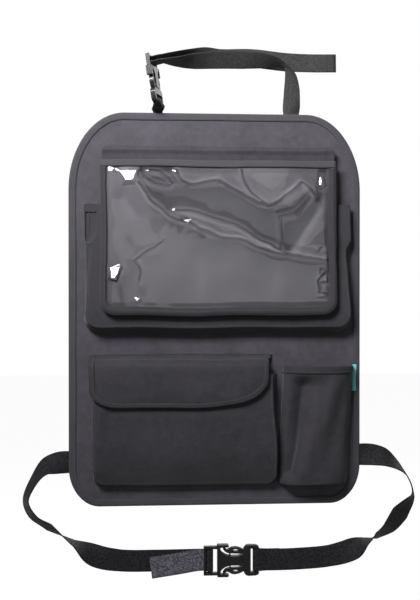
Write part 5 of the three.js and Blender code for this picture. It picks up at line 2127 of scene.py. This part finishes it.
    def _buckle(self, node: str, edge: float) -> None:
        """Makes one moulded buckle half with rounded edges, on the shape of its CAD solid.

        Args:
            node: The CAD node.
            edge: Width of the rounding, in millimetres.
        """
        solid = bpy.data.objects[node]
        mesh = bpy.data.meshes.new_from_object(solid)
        mesh.transform(solid.matrix_world)
        work = bmesh.new()
        work.from_mesh(mesh)
        bmesh.ops.remove_doubles(work, verts=work.verts, dist=0.01 * MM)
        bmesh.ops.dissolve_limit(work, angle_limit=math.radians(4), verts=work.verts, edges=work.edges)
        limit = math.radians(32)
        sharp = [line for line in work.edges if len(line.link_faces) == 2 and line.calc_face_angle() > limit]
        bmesh.ops.bevel(
            work, geom=sharp, offset=edge * MM, offset_type="OFFSET", segments=2, profile=0.5, affect="EDGES",
            clamp_overlap=True,
        )
        bmesh.ops.recalc_face_normals(work, faces=work.faces)
        work.to_mesh(mesh)
        work.free()
        mesh.materials.clear()
        mesh.materials.append(self.shop.material(PLASTIC))
        mesh.shade_smooth()
        made = linked(f"{node}_look", mesh)
        weighted = made.modifiers.new("normals", "WEIGHTED_NORMAL")
        weighted.keep_sharp = True
        self.shop.tie(made, Slot.PLASTIC, [node])


@dataclass(frozen=True)
class Lamp:
    """One soft area lamp, in metres and watts, with its beam's angle in degrees."""

    name: str
    place: tuple[float, float, float]
    aim: tuple[float, float, float]
    size: Pair
    watts: float
    spread: float = 180.0

    def hang(self) -> None:
        """Adds the lamp, turned to what it lights."""
        data = bpy.data.lights.new(self.name, "AREA")
        data.spread = math.radians(self.spread)
        data.shape = "RECTANGLE"
        data.size, data.size_y = self.size
        data.energy = self.watts
        made = linked(self.name, data)
        made.location = self.place
        made.rotation_euler = (Vector(self.aim) - Vector(self.place)).to_track_quat("-Z", "Y").to_euler()


LAMPS = (
    Lamp("key", (-0.54, -0.95, 0.88), (0.03, 0, 0.29), (0.52, 0.42), 5.7, 73.0),
    Lamp("fill", (0.3, -2.2, 0.3), (0, 0, 0), (1.0, 1.0), 2.0),
    Lamp("back", (0.3, 1.6, 0.9), (0, 0, 0), (1.4, 1.2), 12.0),
)


@dataclass
class Studio:
    """Camera, lights and floor."""

    aim: Vector = field(default_factory=lambda: Vector((-7.6, 0, 13.0)) * MM)
    distance: float = 1.25
    yaw: float = -3.8
    rise: float = 0.4
    lens: float = 54.65
    floor_half: float = 6.0
    floor_level: float = -0.62

    def camera(self) -> None:
        """Places the camera at the photograph's angle."""
        data = bpy.data.cameras.new("camera")
        data.lens = self.lens
        data.sensor_width = 36.0
        eye = linked("camera", data)
        yaw, rise = math.radians(self.yaw), math.radians(self.rise)
        away = Vector((math.sin(yaw) * math.cos(rise), -math.cos(yaw) * math.cos(rise), math.sin(rise)))
        eye.location = self.aim + away * self.distance
        eye.rotation_euler = (-away).to_track_quat("-Z", "Y").to_euler()
        bpy.context.scene.camera = eye

    def floor(self) -> None:
        """Adds the white floor below the object."""
        shader = Shader("white_paper")
        white = (0.86, 0.86, 0.86)
        paper = shader.surface({"Base Color": white, "Roughness": 0.9, "Specular IOR Level": 0.1})
        glow = shader.node("ShaderNodeEmission", {}, {"Color": (1.0, 1.0, 1.0), "Strength": 1.09})
        camera = shader.node("ShaderNodeLightPath", {}, {}, "Is Camera Ray")
        shown = shader.node("ShaderNodeMixShader", {}, {0: camera * 0.88, 1: paper, 2: glow})
        wide, low = self.floor_half, self.floor_level
        mesh = bpy.data.meshes.new("floor")
        corners = [(-wide, -wide, low), (wide, -wide, low), (wide, wide, low), (-wide, wide, low)]
        mesh.from_pydata(corners, [], [(0, 1, 2, 3)])
        mesh.materials.append(shader.finish(shown))
        linked("floor", mesh)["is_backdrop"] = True

    def light(self) -> None:
        """Adds the lamps and an even white world."""
        for lamp in LAMPS:
            lamp.hang()
        shader = Shader("studio", True)
        lit, seen = (
            shader.node("ShaderNodeBackground", {}, {"Color": (1.0, 1.0, 1.0), "Strength": strength})
            for strength in (0.1, 1.0)
        )
        camera = shader.node("ShaderNodeLightPath", {}, {}, "Is Camera Ray")
        shown = shader.node("ShaderNodeMixShader", {}, {0: camera, 1: lit, 2: seen})
        bpy.context.scene.world = shader.finish(shown)

    def build(self) -> None:
        """Sets up the whole studio."""
        self.camera()
        self.floor()
        self.light()
        bpy.context.scene.view_settings.view_transform = "Standard"


def main() -> None:
    """Builds the looks and hands the scene over."""
    logging.basicConfig(level=logging.INFO, format="%(name)s %(message)s")
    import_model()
    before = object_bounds()
    shop = Workshop()
    Panel(shop).build()
    pocket = LargePocket(shop)
    pocket.build()
    TabletSleeve(shop, pocket).build()
    FlapPocket(shop).build()
    BottlePocket(shop).build()
    Straps(shop).build()
    Studio().build()
    LOG.info("%d pieces", len(shop.made))
    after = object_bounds()
    sizes = {
        key: [list(map(float, corner)) for corner in box] for key, box in (("cad", before), ("visual", after))
    }


if __name__ == "__main__":
    main()
